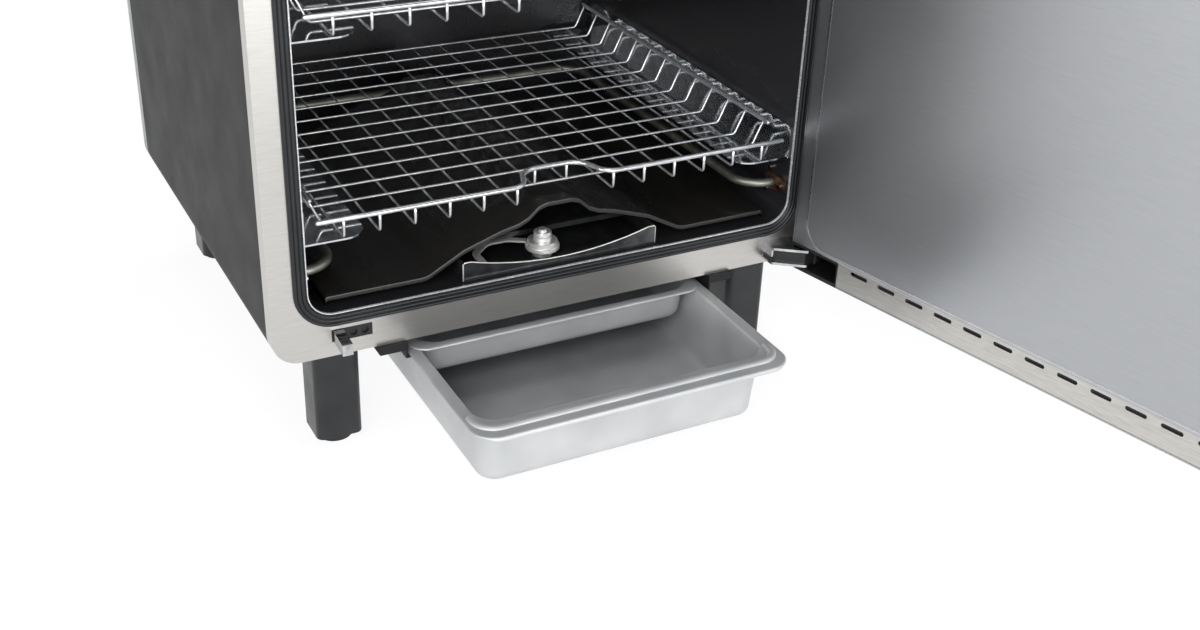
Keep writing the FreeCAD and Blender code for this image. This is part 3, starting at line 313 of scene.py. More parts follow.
def close(look, tree, feeds, bump=None, distance=0.0, strength=1.0):
    """Finish a material with its shader, and a bump of the given depth in metres."""
    feeds = dict(feeds)
    if bump is not None:
        feeds["Normal"] = add(tree, "ShaderNodeBump", {"Height": bump, "Distance": distance,
                                                       "Strength": strength}).outputs["Normal"]
    shader = add(tree, "ShaderNodeBsdfPrincipled", feeds)
    add(tree, "ShaderNodeOutputMaterial", {"Surface": shader.outputs["BSDF"]})
    return look


def grain(tree, place, millimetres, detail=4.0, stretch=(1, 1, 1), turn=0.0, rough=0.55):
    """Noise whose features are about so many millimetres across, drawn out by stretch."""
    turned_place = {"Vector": place, "Rotation": (0, 0, turn)}
    moved = add(tree, "ShaderNodeMapping", turned_place, vector_type="TEXTURE")
    scale = tuple(1000 / millimetres / s for s in stretch)
    pulled = add(tree, "ShaderNodeVectorMath", {0: moved.outputs["Vector"], 1: scale}, operation="MULTIPLY")
    feeds = {"Vector": pulled.outputs["Vector"], "Scale": 1.0, "Detail": detail, "Roughness": rough}
    return add(tree, "ShaderNodeTexNoise", feeds).outputs["Fac"]


def brushed(name, dark, light, stretch, turn=0.0, smooth=0.29, rougher=0.36):
    """Stainless steel sheet, brushed with a belt: fine straight scratches that blur what it mirrors."""
    look, tree, place = begin(name)
    # belt scratches are under 0.1 mm apart, and are drawn 0.22 mm apart so that they show
    scratch = grain(tree, place, 0.22, 2.0, stretch, turn)
    cloud = grain(tree, place, 160, 1.0)
    colour = shades(tree, scratch, (0.2, dark), (0.8, light))
    return close(look, tree, {"Base Color": colour, "Metallic": 1.0,
                              "Roughness": spread(tree, cloud, smooth, rougher)}, scratch, 0.00001, 0.2)


def chrome(name, dark, light, smooth=0.05, rougher=0.14, metallic=1.0):
    """Bright plated or pressed metal, a little clouded: nearly a mirror, or satin where it is rougher."""
    look, tree, place = begin(name)
    cloud = grain(tree, place, 9)
    fine = grain(tree, place, 1.2, 3.0)
    colour = shades(tree, cloud, (0.3, dark), (0.7, light))
    return close(look, tree, {"Base Color": colour, "Metallic": metallic,
                              "Roughness": spread(tree, fine, smooth, rougher)}, fine, 0.00002, 0.2)


def enamel(name, dark, light, glass=1.5):
    """Vitreous enamel fired on steel: deep black, softly reflecting, with a slight orange peel and dust."""
    look, tree, place = begin(name)
    peel = grain(tree, place, 5, 2.0)
    dust = grain(tree, place, 0.9, 5.0, rough=0.7)
    smear = grain(tree, place, 55, 4.0, (1, 2.2, 1))
    colour = shades(tree, dust, (0.45, dark), (0.8, light))
    gloss = spread(tree, smear, 0.2, 0.3)
    return close(look, tree, {"Base Color": colour, "Roughness": gloss, "IOR": glass}, peel, 0.00003, 0.1)


def moulded(name, dark, light, rough_low=0.38, rough_high=0.52, pore=0.7):
    """Moulded polymer with a fine spark-eroded grain that keeps its gloss soft."""
    look, tree, place = begin(name)
    pores = add(tree, "ShaderNodeTexVoronoi", {"Vector": place, "Scale": 1000 / pore})
    cloud = grain(tree, place, 22)
    colour = shades(tree, cloud, (0.3, dark), (0.75, light))
    return close(look, tree, {"Base Color": colour,
                              "Roughness": spread(tree, cloud, rough_low, rough_high), "IOR": 1.46},
                 pores.outputs["Distance"], 0.00005, 0.3)


def rubbery(name, dark, light):
    """Soft rubber, with the faint bloom that silicone and nitrile get."""
    look, tree, place = begin(name)
    bloom = grain(tree, place, 40, 2.0)
    fine = grain(tree, place, 0.8, 3.0)
    colour = shades(tree, bloom, (0.35, dark), (0.75, light))
    return close(look, tree, {"Base Color": colour,
                              "Roughness": spread(tree, bloom, 0.36, 0.42), "IOR": 1.45},
                 fine, 0.00002, 0.25)


def painted(name, dark, light, rough_low=0.5, rough_high=0.6):
    """Powder coat on steel: satin, with a low pebble that the oven leaves."""
    look, tree, place = begin(name)
    pebble = grain(tree, place, 1.4, 2.0)
    cloud = grain(tree, place, 45)
    colour = shades(tree, cloud, (0.3, dark), (0.75, light))
    return close(look, tree, {"Base Color": colour,
                              "Roughness": spread(tree, cloud, rough_low, rough_high), "IOR": 1.35},
                 pebble, 0.00006, 0.35)


def drawn(name, dark, light, metallic=0.55, smooth=0.46, rougher=0.56):
    """Deep drawn aluminised steel: matt silver grey, faintly mottled, with light drawing marks."""
    look, tree, place = begin(name)
    mottle = grain(tree, place, 48, 2.0)
    speck = grain(tree, place, 0.9, 4.0, rough=0.7)
    marks = grain(tree, place, 1.2, 2.0, (1, 1, 9))
    colour = shades(tree, mottle, (0.3, dark), (0.7, light))
    return close(look, tree, {"Base Color": colour, "Metallic": metallic,
                              "Roughness": spread(tree, speck, smooth, rougher)}, marks, 0.00002, 0.2)


def wool():
    """Mineral wool batt: matted yellow fibres."""
    look, tree, place = begin("mineral_wool_batt")
    fibre = grain(tree, place, 1.6, 6.0, (1, 6, 1), 0.6, 0.75)
    colour = shades(tree, fibre, (0.3, "#7d7144"), (0.7, "#cbbf8a"))
    return close(look, tree, {"Base Color": colour,
                              "Roughness": 0.95, "Sheen Weight": 0.3}, fibre, 0.0008, 0.8)


def zinc():
    """Hot-dip zinc on steel: flat spangles of about 9 mm, each a slightly other grey."""
    look, tree, place = begin("spangled_zinc_sheet")
    cell = add(tree, "ShaderNodeTexVoronoi", {"Vector": place, "Scale": 1000 / 9.0})
    tone = add(tree, "ShaderNodeSeparateColor", {"Color": cell.outputs["Color"]}).outputs["Red"]
    colour = shades(tree, tone, (0.0, "#8b8f91"), (1.0, "#b4b8b9"))
    return close(look, tree, {"Base Color": colour, "Metallic": 1.0,
                              "Roughness": spread(tree, tone, 0.36, 0.52, 0, 1)},
                 grain(tree, place, 2.0), 0.00004, 0.3)


def heated(name, dark, middle, light):
    """Heater sheath of a nickel alloy, dulled and faintly tinted by its own heat."""
    look, tree, place = begin(name)
    tint = grain(tree, place, 18, 4.0)
    fine = grain(tree, place, 0.7, 4.0)
    colour = shades(tree, tint, (0.28, dark), (0.5, middle), (0.74, light))
    return close(look, tree, {"Base Color": colour, "Metallic": 0.85,
                              "Roughness": spread(tree, fine, 0.34, 0.52)}, fine, 0.00003, 0.4)


def lathe_marks(name, dark, light):
    """Turned steel: fine rings round the piece, left by the tool."""
    look, tree, place = begin(name)
    rings = grain(tree, place, 0.6, 2.0, (40, 40, 1))
    colour = shades(tree, rings, (0.3, dark), (0.7, light))
    return close(look, tree, {"Base Color": colour, "Metallic": 0.7,
                              "Roughness": spread(tree, rings, 0.26, 0.36)}, rings, 0.00002, 0.25)


def mirror_sheet(name):
    """Polished stainless strip: a mirror that is never quite flat, so reflections ripple."""
    look, tree, place = begin(name)
    wave = grain(tree, place, 26, 1.0)
    haze = grain(tree, place, 7, 4.0)
    colour = shades(tree, haze, (0.3, "#c3c6c9"), (0.7, "#e0e2e4"))
    return close(look, tree, {"Base Color": colour, "Metallic": 1.0,
                              "Roughness": spread(tree, haze, 0.06, 0.12)}, wave, 0.0005, 0.35)


def lamp_lens():
    """Clear red polycarbonate lens."""
    look, tree, place = begin("red_polycarbonate")
    swirl = grain(tree, place, 2.5)
    colour = shades(tree, swirl, (0.3, "#8c0f0a"), (0.7, "#c61d12"))
    return close(look, tree, {"Base Color": colour,
                              "Roughness": spread(tree, swirl, 0.08, 0.16), "IOR": 1.58,
                              "Transmission Weight": 0.35, "Coat Weight": 0.3}, swirl, 0.00005, 0.2)


LOOKS = {}


def make_looks():
    """All finishes, once the colours are known."""
    paint = bpy.context.scene.smoker_colours
    steel_dark, steel_light = code_of(paint.steel_dark), code_of(paint.steel_light)
    LOOKS.update({
        "frame": brushed("brushed_stainless_frame", steel_dark, steel_light, (90, 1, 1)),
        "door": brushed("brushed_stainless_door", "#8f9092", "#c9cacb", (1, 1, 60), DOOR_TURN),
        "inner_door": brushed("satin_stainless_inner_door", "#a8aaad", "#b6b8bb", (90, 1, 1), DOOR_TURN,
                              0.32, 0.36),
        # the pressed shoulder is the door sheet's own steel, made lighter and glossier as a painted
        # highlight along the emboss
        "shoulder": chrome("pressed_shoulder_painted_highlight", "#b8babd", "#c9cbcd", 0.26, 0.32),
        "strip": brushed("brushed_stainless_strip", "#a9a7a3", "#dddbd6", (60, 1, 1), DOOR_TURN),
        "handle": brushed("brushed_stainless_bar", "#a2a3a4", "#d8d9da", (1, 1, 60)),
        "case": painted("black_powder_coat", "#08090a", "#111214"),
        "rail": painted("black_coated_rail", "#0d0e0f", "#1a1b1d"),
        "zinc": zinc(),
        "enamel": enamel("black_vitreous_enamel", code_of(paint.enamel), "#2c2c2f"),
        "baffle": enamel("black_enamelled_baffle", "#181716", "#262422", 1.42),
        "seal": rubbery("blue_black_silicone", code_of(paint.seal), "#16191d"),
        "foot": rubbery("black_nitrile_rubber", "#0d0d0e", "#1d1d1f"),
        "leg": moulded("black_nylon_leg", "#121315", "#222427", 0.3, 0.42),
        "cap": moulded("black_polypropylene_cap", "#0c0c0e", "#18191b"),
        "housing": moulded("black_moulded_housing", "#141517", "#212225", pore=0.9),
        "dial": moulded("black_phenolic_dial", "#0e0e10", "#19191c", 0.22, 0.34),
        "wool": wool(),
        "wire": chrome("chromed_wire", "#b3b5b7", "#d3d4d6", 0.14, 0.22, 0.74),
        # the liner's black enamel lip gets this bright metal as a painted highlight of its glossy edge
        "edge": chrome("liner_edge_painted_highlight", "#c9cbcc", "#e4e5e6", 0.2, 0.3, 0.6),
        "plate": chrome("bright_chrome_plate", "#a9abae", "#dcdddf", 0.07, 0.18),
        "screw": chrome("bright_zinc_screw", "#9d9fa0", "#d6d7d6", 0.12, 0.26),
        "support": mirror_sheet("polished_stainless_shelf"),
        "heater": heated("nickel_alloy_sheath", "#6b6c62", "#8a8b81", "#a3a298"),
        "copper": heated("copper_plated_flange", "#4a3429", "#6a4b3b", "#876b5a"),
        "steel": chrome("drawn_steel", "#8f9193", "#bfc1c2", 0.2, 0.34),
        "chip": chrome("dark_polished_steel", "#3a3b3d", "#5b5d60", 0.12, 0.22, 0.8),
        "knob": lathe_marks("turned_steel_knob", "#cfcfcd", "#f0f0ee"),
        "strap": chrome("polished_steel_strap", "#c4c2bd", "#e6e4df", 0.16, 0.26, 0.62),
        "tray": drawn("aluminised_steel_pan", code_of(paint.tray_dark), code_of(paint.tray_light)),
        "lens": lamp_lens(),
        "mark": moulded("white_printed_ink", "#d9d9d6", "#efefec", 0.5, 0.6),
    })


def code_of(colour):
    """A linear colour property as an sRGB hex code."""
    parts = [c * 12.92 if c <= 0.0031308 else 1.055 * c ** (1 / 2.4) - 0.055 for c in colour]
    return "#" + "".join("%02x" % max(0, min(255, round(c * 255))) for c in parts)


class SmokerSizes(bpy.types.PropertyGroup):
    """Lengths of the details that are added to the frame."""
    wire: FloatProperty(name="Wire", description="Radius of a rack's thin wire", default=0.95 * MM,
                        subtype="DISTANCE", unit="LENGTH", precision=4)
    rail: FloatProperty(name="Rail", description="Radius of a rack's rails", default=1.9 * MM,
                        subtype="DISTANCE", unit="LENGTH", precision=4)
    pitch: FloatProperty(name="Wire pitch", description="Distance from wire to wire", default=25.4 * MM,
                         subtype="DISTANCE", unit="LENGTH", precision=4)
    heater: FloatProperty(name="Heater", description="Radius of the heater's tube", default=3.3 * MM,
                          subtype="DISTANCE", unit="LENGTH", precision=4)
    bead: FloatProperty(name="Bead", description="Height of the ridge on the drawer's rim", default=2.0 * MM,
                        subtype="DISTANCE", unit="LENGTH", precision=4)
    wire_sides: IntProperty(name="Wire sides", description="Faces round a wire", default=10, min=6, max=24)


class SmokerColours(bpy.types.PropertyGroup):
    """Colours that set the smoker's character."""
    steel_dark: FloatVectorProperty(name="Steel, dark", description="Deeper tone of the brushed frame",
                                    subtype="COLOR", default=linear("#b3b2af"), min=0, max=1)
    steel_light: FloatVectorProperty(name="Steel, light", description="Lighter tone of the brushed frame",
                                     subtype="COLOR", default=linear("#cfcdc9"), min=0, max=1)
    enamel: FloatVectorProperty(name="Enamel", description="Black of the chamber", subtype="COLOR",
                                default=linear("#1d1d1f"), min=0, max=1)
    seal: FloatVectorProperty(name="Seal", description="Blue black of the door seal", subtype="COLOR",
                              default=linear("#0c0e11"), min=0, max=1)
    tray_dark: FloatVectorProperty(name="Pan, dark", description="Deeper tone of the drawn pans",
                                   subtype="COLOR", default=linear("#b4b6b8"), min=0, max=1)
    tray_light: FloatVectorProperty(name="Pan, light", description="Lighter tone of the drawn pans",
                                    subtype="COLOR", default=linear("#c6c7c8"), min=0, max=1)


# pieces

class MakeCabinet(bpy.types.Operator):
    """Finish the frame, case, chamber, legs, insulation and chamber screws"""
    bl_idname = "smoker.cabinet"
    bl_label = "Cabinet"

    def execute(self, context):
        make_looks()
        dress(LOOKS["frame"], ["front_frame"], 0.8)
        dress(LOOKS["case"], ["outer_shell"], 0.4)
        dress(LOOKS["zinc"], ["back_panel", "base_pan"], 0.4)
        dress(LOOKS["enamel"], ["inner_liner"])
        dress(LOOKS["leg"], ["leg_front_left", "leg_front_right", "leg_rear_left", "leg_rear_right"], 0.8)
        dress(LOOKS["foot"], ["foot_pads"], 0.8)
        dress(LOOKS["steel"], ["drain_spout", "temperature_probe"], 0.3)
        dress(LOOKS["wool"], ["insulation_wrap", "insulation_floor", "insulation_back", "door_insulation"])
        dress(LOOKS["screw"], ["chamber_screws"], 0.4)
        return {"FINISHED"}


def grown(box, corner, out):
    """Outline of a box of low and high sides with rounded corners, set out all round."""
    low_u, low_v, high_u, high_v = box
    return rounded_rectangle(low_u - out, low_v - out, high_u + out, high_v + out, corner + out, 10)


def around_mouth(profile):
    """Rings round the chamber's mouth, one for each point of a profile of outward and depth."""
    return [[at(x, depth, z) for x, z in grown(MOUTH, MOUTH_CORNER, out)] for out, depth in profile]


class MakeSeal(bpy.types.Operator):
    """Door seal with its two grooves, and a thin lip at the liner's edge inside it, made bright as a painted
    highlight
    """
    bl_idname = "smoker.seal"
    bl_label = "Door seal"

    def execute(self, context):
        section = [(1.0, 5.8), (1.0, 0.2), (1.05, -1.6), (1.5, -2.5), (2.4, -3.0), (3.3, -2.95),
                   (3.8, -2.7), (4.24, -2.3), (4.7, -2.7), (5.2, -2.97), (5.8, -3.0), (6.4, -2.97),
                   (6.85, -2.7), (7.3, -2.3), (7.75, -2.7), (8.3, -2.9), (9.0, -2.9), (9.6, -2.4),
                   (9.95, -1.4), (10.0, 0.2), (10.0, 5.8)]
        piece("door_seal", loft(around_mouth(section), joined=True), LOOKS["seal"], "cabinet",
              ["door_gasket"], 60)
        # a thin lip at the liner's edge: the lip is real, and its bright metal is a painted highlight of the
        # glossy enamel edge
        edge = [(-0.15, 0.0), (-0.15, -1.2), (0.05, -1.6), (0.7, -1.6), (0.9, -1.3), (0.9, 0.0)]
        piece("liner_lip_painted_highlight", loft(around_mouth(edge), joined=True), LOOKS["edge"], "cabinet", (),
              50)
        return {"FINISHED"}


def rack(level, sizes):
    """Points and faces of one welded rack: the grid, its raised side rails and the front rail."""
    thin, rail, pitch = sizes.wire / MM, sizes.rail / MM, sizes.pitch / MM
    sides = sizes.wire_sides
    front, back = RACK_FRONT, RACK_FRONT + pitch * RACK_ROWS + 4
    parts = []
    for column in range(RACK_COLUMNS):
        x = (column - (RACK_COLUMNS - 1) / 2) * pitch
        start = front + pitch if abs(x) < GRIP_HALF else front
        top = level + FRONT_RISE - rail * 0.4
        path = bend([Vector(p) for p in ((x, back, level), (x, start, level), (x, start, top))], [3.2], 5)
        # the weld swells a wire's end
        radii = [thin] * (len(path) - 1) + [thin * 1.35]
        parts.append(tube([at(*p) for p in path], [r * MM for r in radii], sides))
    cross = level + thin * 2
    end = level + SIDE_RISE - rail * 0.5
    for number in range(RACK_ROWS):
        y = front + pitch * (number + 1)
        spots = ((-SIDE_RAIL, y, end), (-GRID_HALF, y, cross), (GRID_HALF, y, cross), (SIDE_RAIL, y, end))
        path = bend([Vector(p) for p in spots], [3.5, 3.5], 5)
        parts.append(tube([at(*p) for p in path], thin * MM, sides))
    grip_back = GRIP_HALF - 8
    points = ((-FRONT_RAIL_HALF, 0), (-GRIP_HALF, 0), (-grip_back, GRIP_DEPTH), (grip_back, GRIP_DEPTH),
              (GRIP_HALF, 0), (FRONT_RAIL_HALF, 0))
    path = bend([Vector((x, front + y, level + FRONT_RISE)) for x, y in points], [13, 17, 17, 13], 8)
    parts.append(tube([at(*p) for p in path], rail * MM, sides + 4))
    first = front + pitch - 8
    for x in (-SIDE_RAIL, SIDE_RAIL):
        ends = [Vector((x, first + (back - first) * k / 12, level + SIDE_RISE)) for k in range(13)]
        parts.append(tube([at(*p) for p in ends], rail * MM, sides + 4))
    return together(parts)


class MakeRacks(bpy.types.Operator):
    """Three welded wire racks with a recess in the front rail for the hand"""
    bl_idname = "smoker.racks"
    bl_label = "Cooking racks"

    def execute(self, context):
        bodies = ("rack_low", "rack_middle", "rack_high")
        for number, (level, body) in enumerate(zip(RACK_LEVELS, bodies), 1):
            piece("wire_rack_%d" % number, rack(level, context.scene.smoker_sizes), LOOKS["wire"], body,
                  ["cooking_rack_%d" % number], 55)
        dress(LOOKS["support"], ["rack_supports_left", "rack_supports_right"], 0.5)
        return {"FINISHED"}


class MakeHeater(bpy.types.Operator):
    """Tubular heater, with its wall flanges"""
    bl_idname = "smoker.heater"
    bl_label = "Heater"

    def execute(self, context):
        points = ((-193.5, 19), (-166, 19), (-166, 312), (166, 312), (166, 19), (193.5, 19))
        path = bend([Vector((x, y, HEATER_LEVEL)) for x, y in points], [22] * 4, 12)
        radius = context.scene.smoker_sizes.heater
        piece("heater_tube", tube([at(*p) for p in path], radius, 18), LOOKS["heater"], "cabinet",
              ["heating_element"], 60)
        dress(LOOKS["copper"], ["element_flanges"], 0.3)
        return {"FINISHED"}


class MakeBaffle(bpy.types.Operator):
    """Enamelled deflector with soft folds and a turned-down front edge"""
    bl_idname = "smoker.baffle"
    bl_label = "Heat baffle"

    def execute(self, context):
        half = [(178, 34.6), (178, 41.5), (103.5, 41.5), (75, 57), (46, 66.6), (32, 69.6), (24.5, 73),
                (16.2, 80.4), (9.8, 82.4)]
        radii = [2, 16, 16, 14, 8, 5, 5, 6]
        points = [Vector((x, 0, z)) for x, z in half] + [Vector((-x, 0, z)) for x, z in reversed(half)]
        line = bend(points, radii + radii[::-1], 6)
        rows = [(1.0, 12.0), (3.5, 11.0), (3.5, 10.0), (1.4, 10.0), (0.5, 10.3), (0.0, 11.4), (0.0, 60.0),
                (0.0, 286.0), (0.9, 286.0), (1.0, 60.0)]
        rings = [[at(p.x, y, p.z - drop) if p.z > 38 else at(p.x, y, p.z) for p in line] for drop, y in rows]
        piece("arched_baffle", loft(rings, closed=False, joined=True), LOOKS["baffle"], "cabinet",
              ["heat_baffle"], 35)
        return {"FINISHED"}


class MakeChipBox(bpy.types.Operator):
    """Chip box with its hem painted bright as a highlight, turned knob and strap"""
    bl_idname = "smoker.chip_box"
    bl_label = "Chip box"

    def execute(self, context):
        dress(LOOKS["chip"], ["chip_box"], 0.2)
        dress(LOOKS["chip"], ["chip_box_lid"], 0.35)
        radius = (SCALLOP_HALF ** 2 + SCALLOP_DIP ** 2) / (SCALLOP_DIP * 2)
        turn, lowest = math.asin(SCALLOP_HALF / radius), CHIP_TOP - SCALLOP_DIP
        arc = [(radius * math.sin(turn * k / 16), lowest + radius - radius * math.cos(turn * k / 16))
               for k in range(-16, 17)]
        left = [(-CHIP_HALF, CHIP_LOW), (-CHIP_HALF, CHIP_TOP - 1.2), (1 - CHIP_HALF, CHIP_TOP)]
        path = left + arc + [(-x, z) for x, z in reversed(left)]
        # the hem is real, but its bright strap steel against the box's dark steel is a painted highlight
        # along the front edge
        piece("chip_box_hem_painted_highlight", tube([at(x, CHIP_FRONT, z) for x, z in path], 0.55 * MM, 8), LOOKS["strap"],
              "chip_tray", (), 60)

        def on_knob(u, v, height):
            x, y, z = KNOB
            return at(x + u, y + v, z + height)

        profile = [(7.4, 0), (7.8, 0.4), (7.8, 4.9), (8.2, 5.3), (12.3, 5.4), (12.7, 5.8), (12.7, 8.3),
                   (12.3, 8.8), (11.7, 9.0), (11.3, 9.4), (11.3, 11.6), (10.8, 12.1), (7.1, 12.3),
                   (6.7, 12.8), (6.7, 18.2), (6.2, 18.8)]
        stud = [(3.3, 18.6), (3.3, 20.4), (2.8, 20.9)]
        piece("stepped_knob", together([turned(profile, on_knob), turned(stud, on_knob, 24)]), LOOKS["knob"],
              "chip_tray", ["chip_box_knob"], 30)
        points = [Vector((x, y, STRAP_LEVEL)) for x, y in
                  ((-61.4, 5), (-61.4, 22), (-48, 34.5), (-31, 34.5), (-18.2, 27.2))]
        section = [(-2.8, -0.5), (-2.5, -0.8), (2.5, -0.8), (2.8, -0.5), (2.8, 0.5), (2.5, 0.8), (-2.5, 0.8),
                   (-2.8, 0.5)]
        piece("flat_strap", loft(along(bend(points, [10, 14, 14], 8), section)), LOOKS["strap"], "chip_tray",
              ["chip_box_strap"], 30)
        return {"FINISHED"}


def pan(half, front, back, top, rims, depth, taper, corner, inner_corner, roll):
    """A drawn pan: soft floor, leaning walls and a flat rim, whose front edge is turned down by roll."""
    side_rim, front_rim, back_rim = rims
    near, far = front + front_rim + taper, back - back_rim - taper
    base = (-half + side_rim + taper, near, half - side_rim - taper, far)
    floor = top - depth + 1
    rings = []

    def ring(rect, rounding, grow, level, hang=0.0):
        outline = grown(rect, rounding, grow)
        # the turned edge fades out before the corners, so that it clears the rails that carry the rim
        shares = [min(1, max(0, (half - 5 - abs(x)) / 10)) if y < front + 10 else 0 for x, y in outline]
        rings.append([at(x, y, level - hang * share) for (x, y), share in zip(outline, shares)])

    def wall(grow, level):
        ring(base, inner_corner, grow, level)

    soft, rim = 7, (-half, front, half, back)
    wall(-soft - 20, floor)
    for turn in range(0, 91, 15):
        slant = math.radians(turn)
        wall(-soft + soft * math.sin(slant), floor + soft - soft * math.cos(slant))
    for share in (0.4, 0.75):
        wall(taper * share, floor + soft + (depth - soft - 1) * share)
    for grow, drop in ((taper * 0.97, 2.0), (taper + 0.3, 0.8), (taper + 1.0, 0.2), (taper + 2.0, 0.0)):
        wall(grow, top - drop)
    edge = ((-1.6, 0.0, 0), (-0.6, 0.15, 0), (0.0, 0.7, 0), (0.0, 0.95, roll), (-0.9, 0.98, roll),
            (-1.0, 1.0, 0))
    for grow, drop, hang in edge:
        ring(rim, corner, grow, top - drop, hang)
    wall(taper + 2.6, top - 1.1)
    wall(taper + 1.4, top - 1.4)
    for share in (0.75, 0.4):
        wall(taper * share + 1, floor + soft + (depth - soft - 1) * share)
    for turn in range(90, -1, -15):
        slant = math.radians(turn)
        wall(-soft + (soft + 1) * math.sin(slant), floor + soft - (soft + 1) * math.cos(slant))
    wall(-soft - 20, floor - 1)
    return loft(rings)


class MakeDrawer(bpy.types.Operator):
    """Grease drawer with its ridge, the shallow pan inside it and the rails that carry it"""
    bl_idname = "smoker.drawer"
    bl_label = "Grease drawer"

    def execute(self, context):
        tray = pan(half=123, front=-127.4, back=162.6, top=TRAY_TOP, rims=(10, 21, 10), depth=55, taper=4,
                   corner=18, inner_corner=14, roll=2.4)
        shallow = pan(half=119.67, front=-4.9, back=157.1, top=TRAY_TOP + 1, rims=(8.67, 8.5, 8.5), depth=28,
                      taper=2, corner=14, inner_corner=14, roll=0.0)
        high = context.scene.smoker_sizes.bead / MM
        corners = ((-116.8, -97), (-116.8, -115.8), (116.8, -115.8), (116.8, -97))
        points = [Vector((x, y, TRAY_TOP)) for x, y in corners]
        hump = ((-3.4, -0.3), (-3.1, 0.25), (-2.4, 0.75), (-1.2, 0.97), (0, 1.0), (1.2, 0.97), (2.4, 0.75),
                (3.1, 0.25), (3.4, -0.3))
        rings = along(bend(points, [14.8, 14.8], 10), [(across, up * high) for across, up in hump])
        for end, inner in ((0, 1), (-1, -2)):
            centre = sum(rings[end], Vector()) / len(rings[end]) - Vector((0, 0, high * 0.9 * MM))
            push = (rings[end][4] - rings[inner][4]).normalized() * 2.4 * MM
            cap = [centre.lerp(p, 0.45) + push for p in rings[end]]
            rings.insert(0 if end == 0 else len(rings), cap)
        piece("drawer_pan", together([tray, loft(rings)]), LOOKS["tray"], "drawer", ["grease_tray"],
              50)
        piece("shallow_pan", shallow, LOOKS["tray"], "pan", ["inner_pan"], 50)
        dress(LOOKS["rail"], ["tray_runner_left", "tray_runner_right"], 0.3)
        return {"FINISHED"}


class MakeDoor(bpy.types.Operator):
    """Door skin, embossed inner sheet with its pressed shoulder painted lighter as a highlight, strips, caps
    and the slots' backing
    """
    bl_idname = "smoker.door"
    bl_label = "Door"

    def execute(self, context):
        dress(LOOKS["door"], ["door_skin"], 0.5)
        dress(LOOKS["inner_door"], ["door_liner"], 1.1)
        dress(LOOKS["strip"], ["door_strip_lower", "door_strip_upper"], 0.25)
        dress(LOOKS["cap"], ["door_cap_lower_hinge", "door_cap_lower_latch", "door_cap_upper_hinge",
                             "door_cap_upper_latch"], 0.7)
        rings = []
        for x, shrink in ((-150, 1.2), (-149, 0.2), (-148, 0), (156, 0), (157, 0.2), (158, 1.2)):
            low_y, high_y = -9.6 + shrink, -7.5 - shrink * 0.5
            outline = rounded_rectangle(low_y, 14 + shrink, high_y, 21.5 - shrink, 0.6, 3)
            rings.append([on_door(x, y, z) for y, z in outline])
        piece("slot_backing", loft(rings), LOOKS["cap"], "door", (), 40)
        # the shoulder round the raised panel is real; its lighter copy of the sheet's steel is a painted
        # highlight
        profile = ((2.2, -5.95), (1.2, -5.7), (0.5, -5.0), (0.15, -4.2), (-0.5, -3.6), (-1.5, -3.38),
                   (-2.8, -3.38), (-2.8, -3.6), (2.2, -6.1))
        rings = [[on_door(x, y, z) for x, z in grown(PANEL, PANEL_CORNER, out)] for out, y in profile]
        piece("panel_shoulder", loft(rings, joined=True), LOOKS["shoulder"], "door", (),
              60)
        return {"FINISHED"}


class MakeHandle(bpy.types.Operator):
    """Bar handle with rounded ends on two posts"""
    bl_idname = "smoker.handle"
    bl_label = "Door handle"

    def execute(self, context):
        profile = [(5.6, -110), (6.9, -109.6), (7.7, -108.6), (8, -107), (8, -60), (8, 0), (8, 60), (8, 107),
                   (7.7, 108.6), (6.9, 109.6), (5.6, 110)]
        x, y, z = HANDLE
        bar = turned(profile, lambda u, v, h: on_door(x + u, y + v, z + h), 40)
        piece("bar_handle", bar, LOOKS["handle"], "door", ["handle_bar"], 40)
        dress(LOOKS["handle"], ["handle_posts"], 0.5)
        return {"FINISHED"}


class MakeHinges(bpy.types.Operator):
    """Hinge brackets with their cores and pins, and the catch"""
    bl_idname = "smoker.hinges"
    bl_label = "Hinges and catch"

    def execute(self, context):
        dress(LOOKS["plate"], ["hinge_bracket_lower", "hinge_bracket_upper", "catch_bar"], 0.6)
        dress(LOOKS["cap"], ["hinge_core_lower", "hinge_core_upper", "catch_plate"], 0.4)
        dress(LOOKS["steel"], ["hinge_pin_lower", "hinge_pin_upper"], 0.5)
        return {"FINISHED"}


class MakeHead(bpy.types.Operator):
    """Control housing with its dial, marks, switch and lamp, and the smoke outlet"""
    bl_idname = "smoker.head"
    bl_label = "Controls and vent"

    def execute(self, context):
        dress(LOOKS["housing"], ["control_housing"], 1.2)
        dress(LOOKS["dial"], ["temperature_dial"], 0.5)
        dress(LOOKS["dial"], ["power_switch"], 0.5)
        dress(LOOKS["lens"], ["indicator_lens"], 0.8)
        dress(LOOKS["foot"], ["cord_gland"], 0.6)
        dress(LOOKS["steel"], ["vent_collar", "vent_damper"], 0.4)
        x, z = DIAL
        marks = []
        for number in range(11):
            turn = math.radians(225 - 27 * number)
            long = 26.5 if number % 5 else 28.5
            ends = [(r * math.cos(turn), r * math.sin(turn)) for r in (23.5, long)]
            marks.append(tube([at(x + u, MARKS_DEPTH, z + v) for u, v in ends], 0.55 * MM, 8))
        piece("dial_marks", together(marks), LOOKS["mark"], "cabinet", (), 50)
        pointer = [at(x, POINTER_DEPTH, z + h) for h in (5, 9, 13, 16.5)]
        piece("dial_pointer", tube(pointer, 0.8 * MM, 10), LOOKS["mark"], "dial", (), 50)
        return {"FINISHED"}


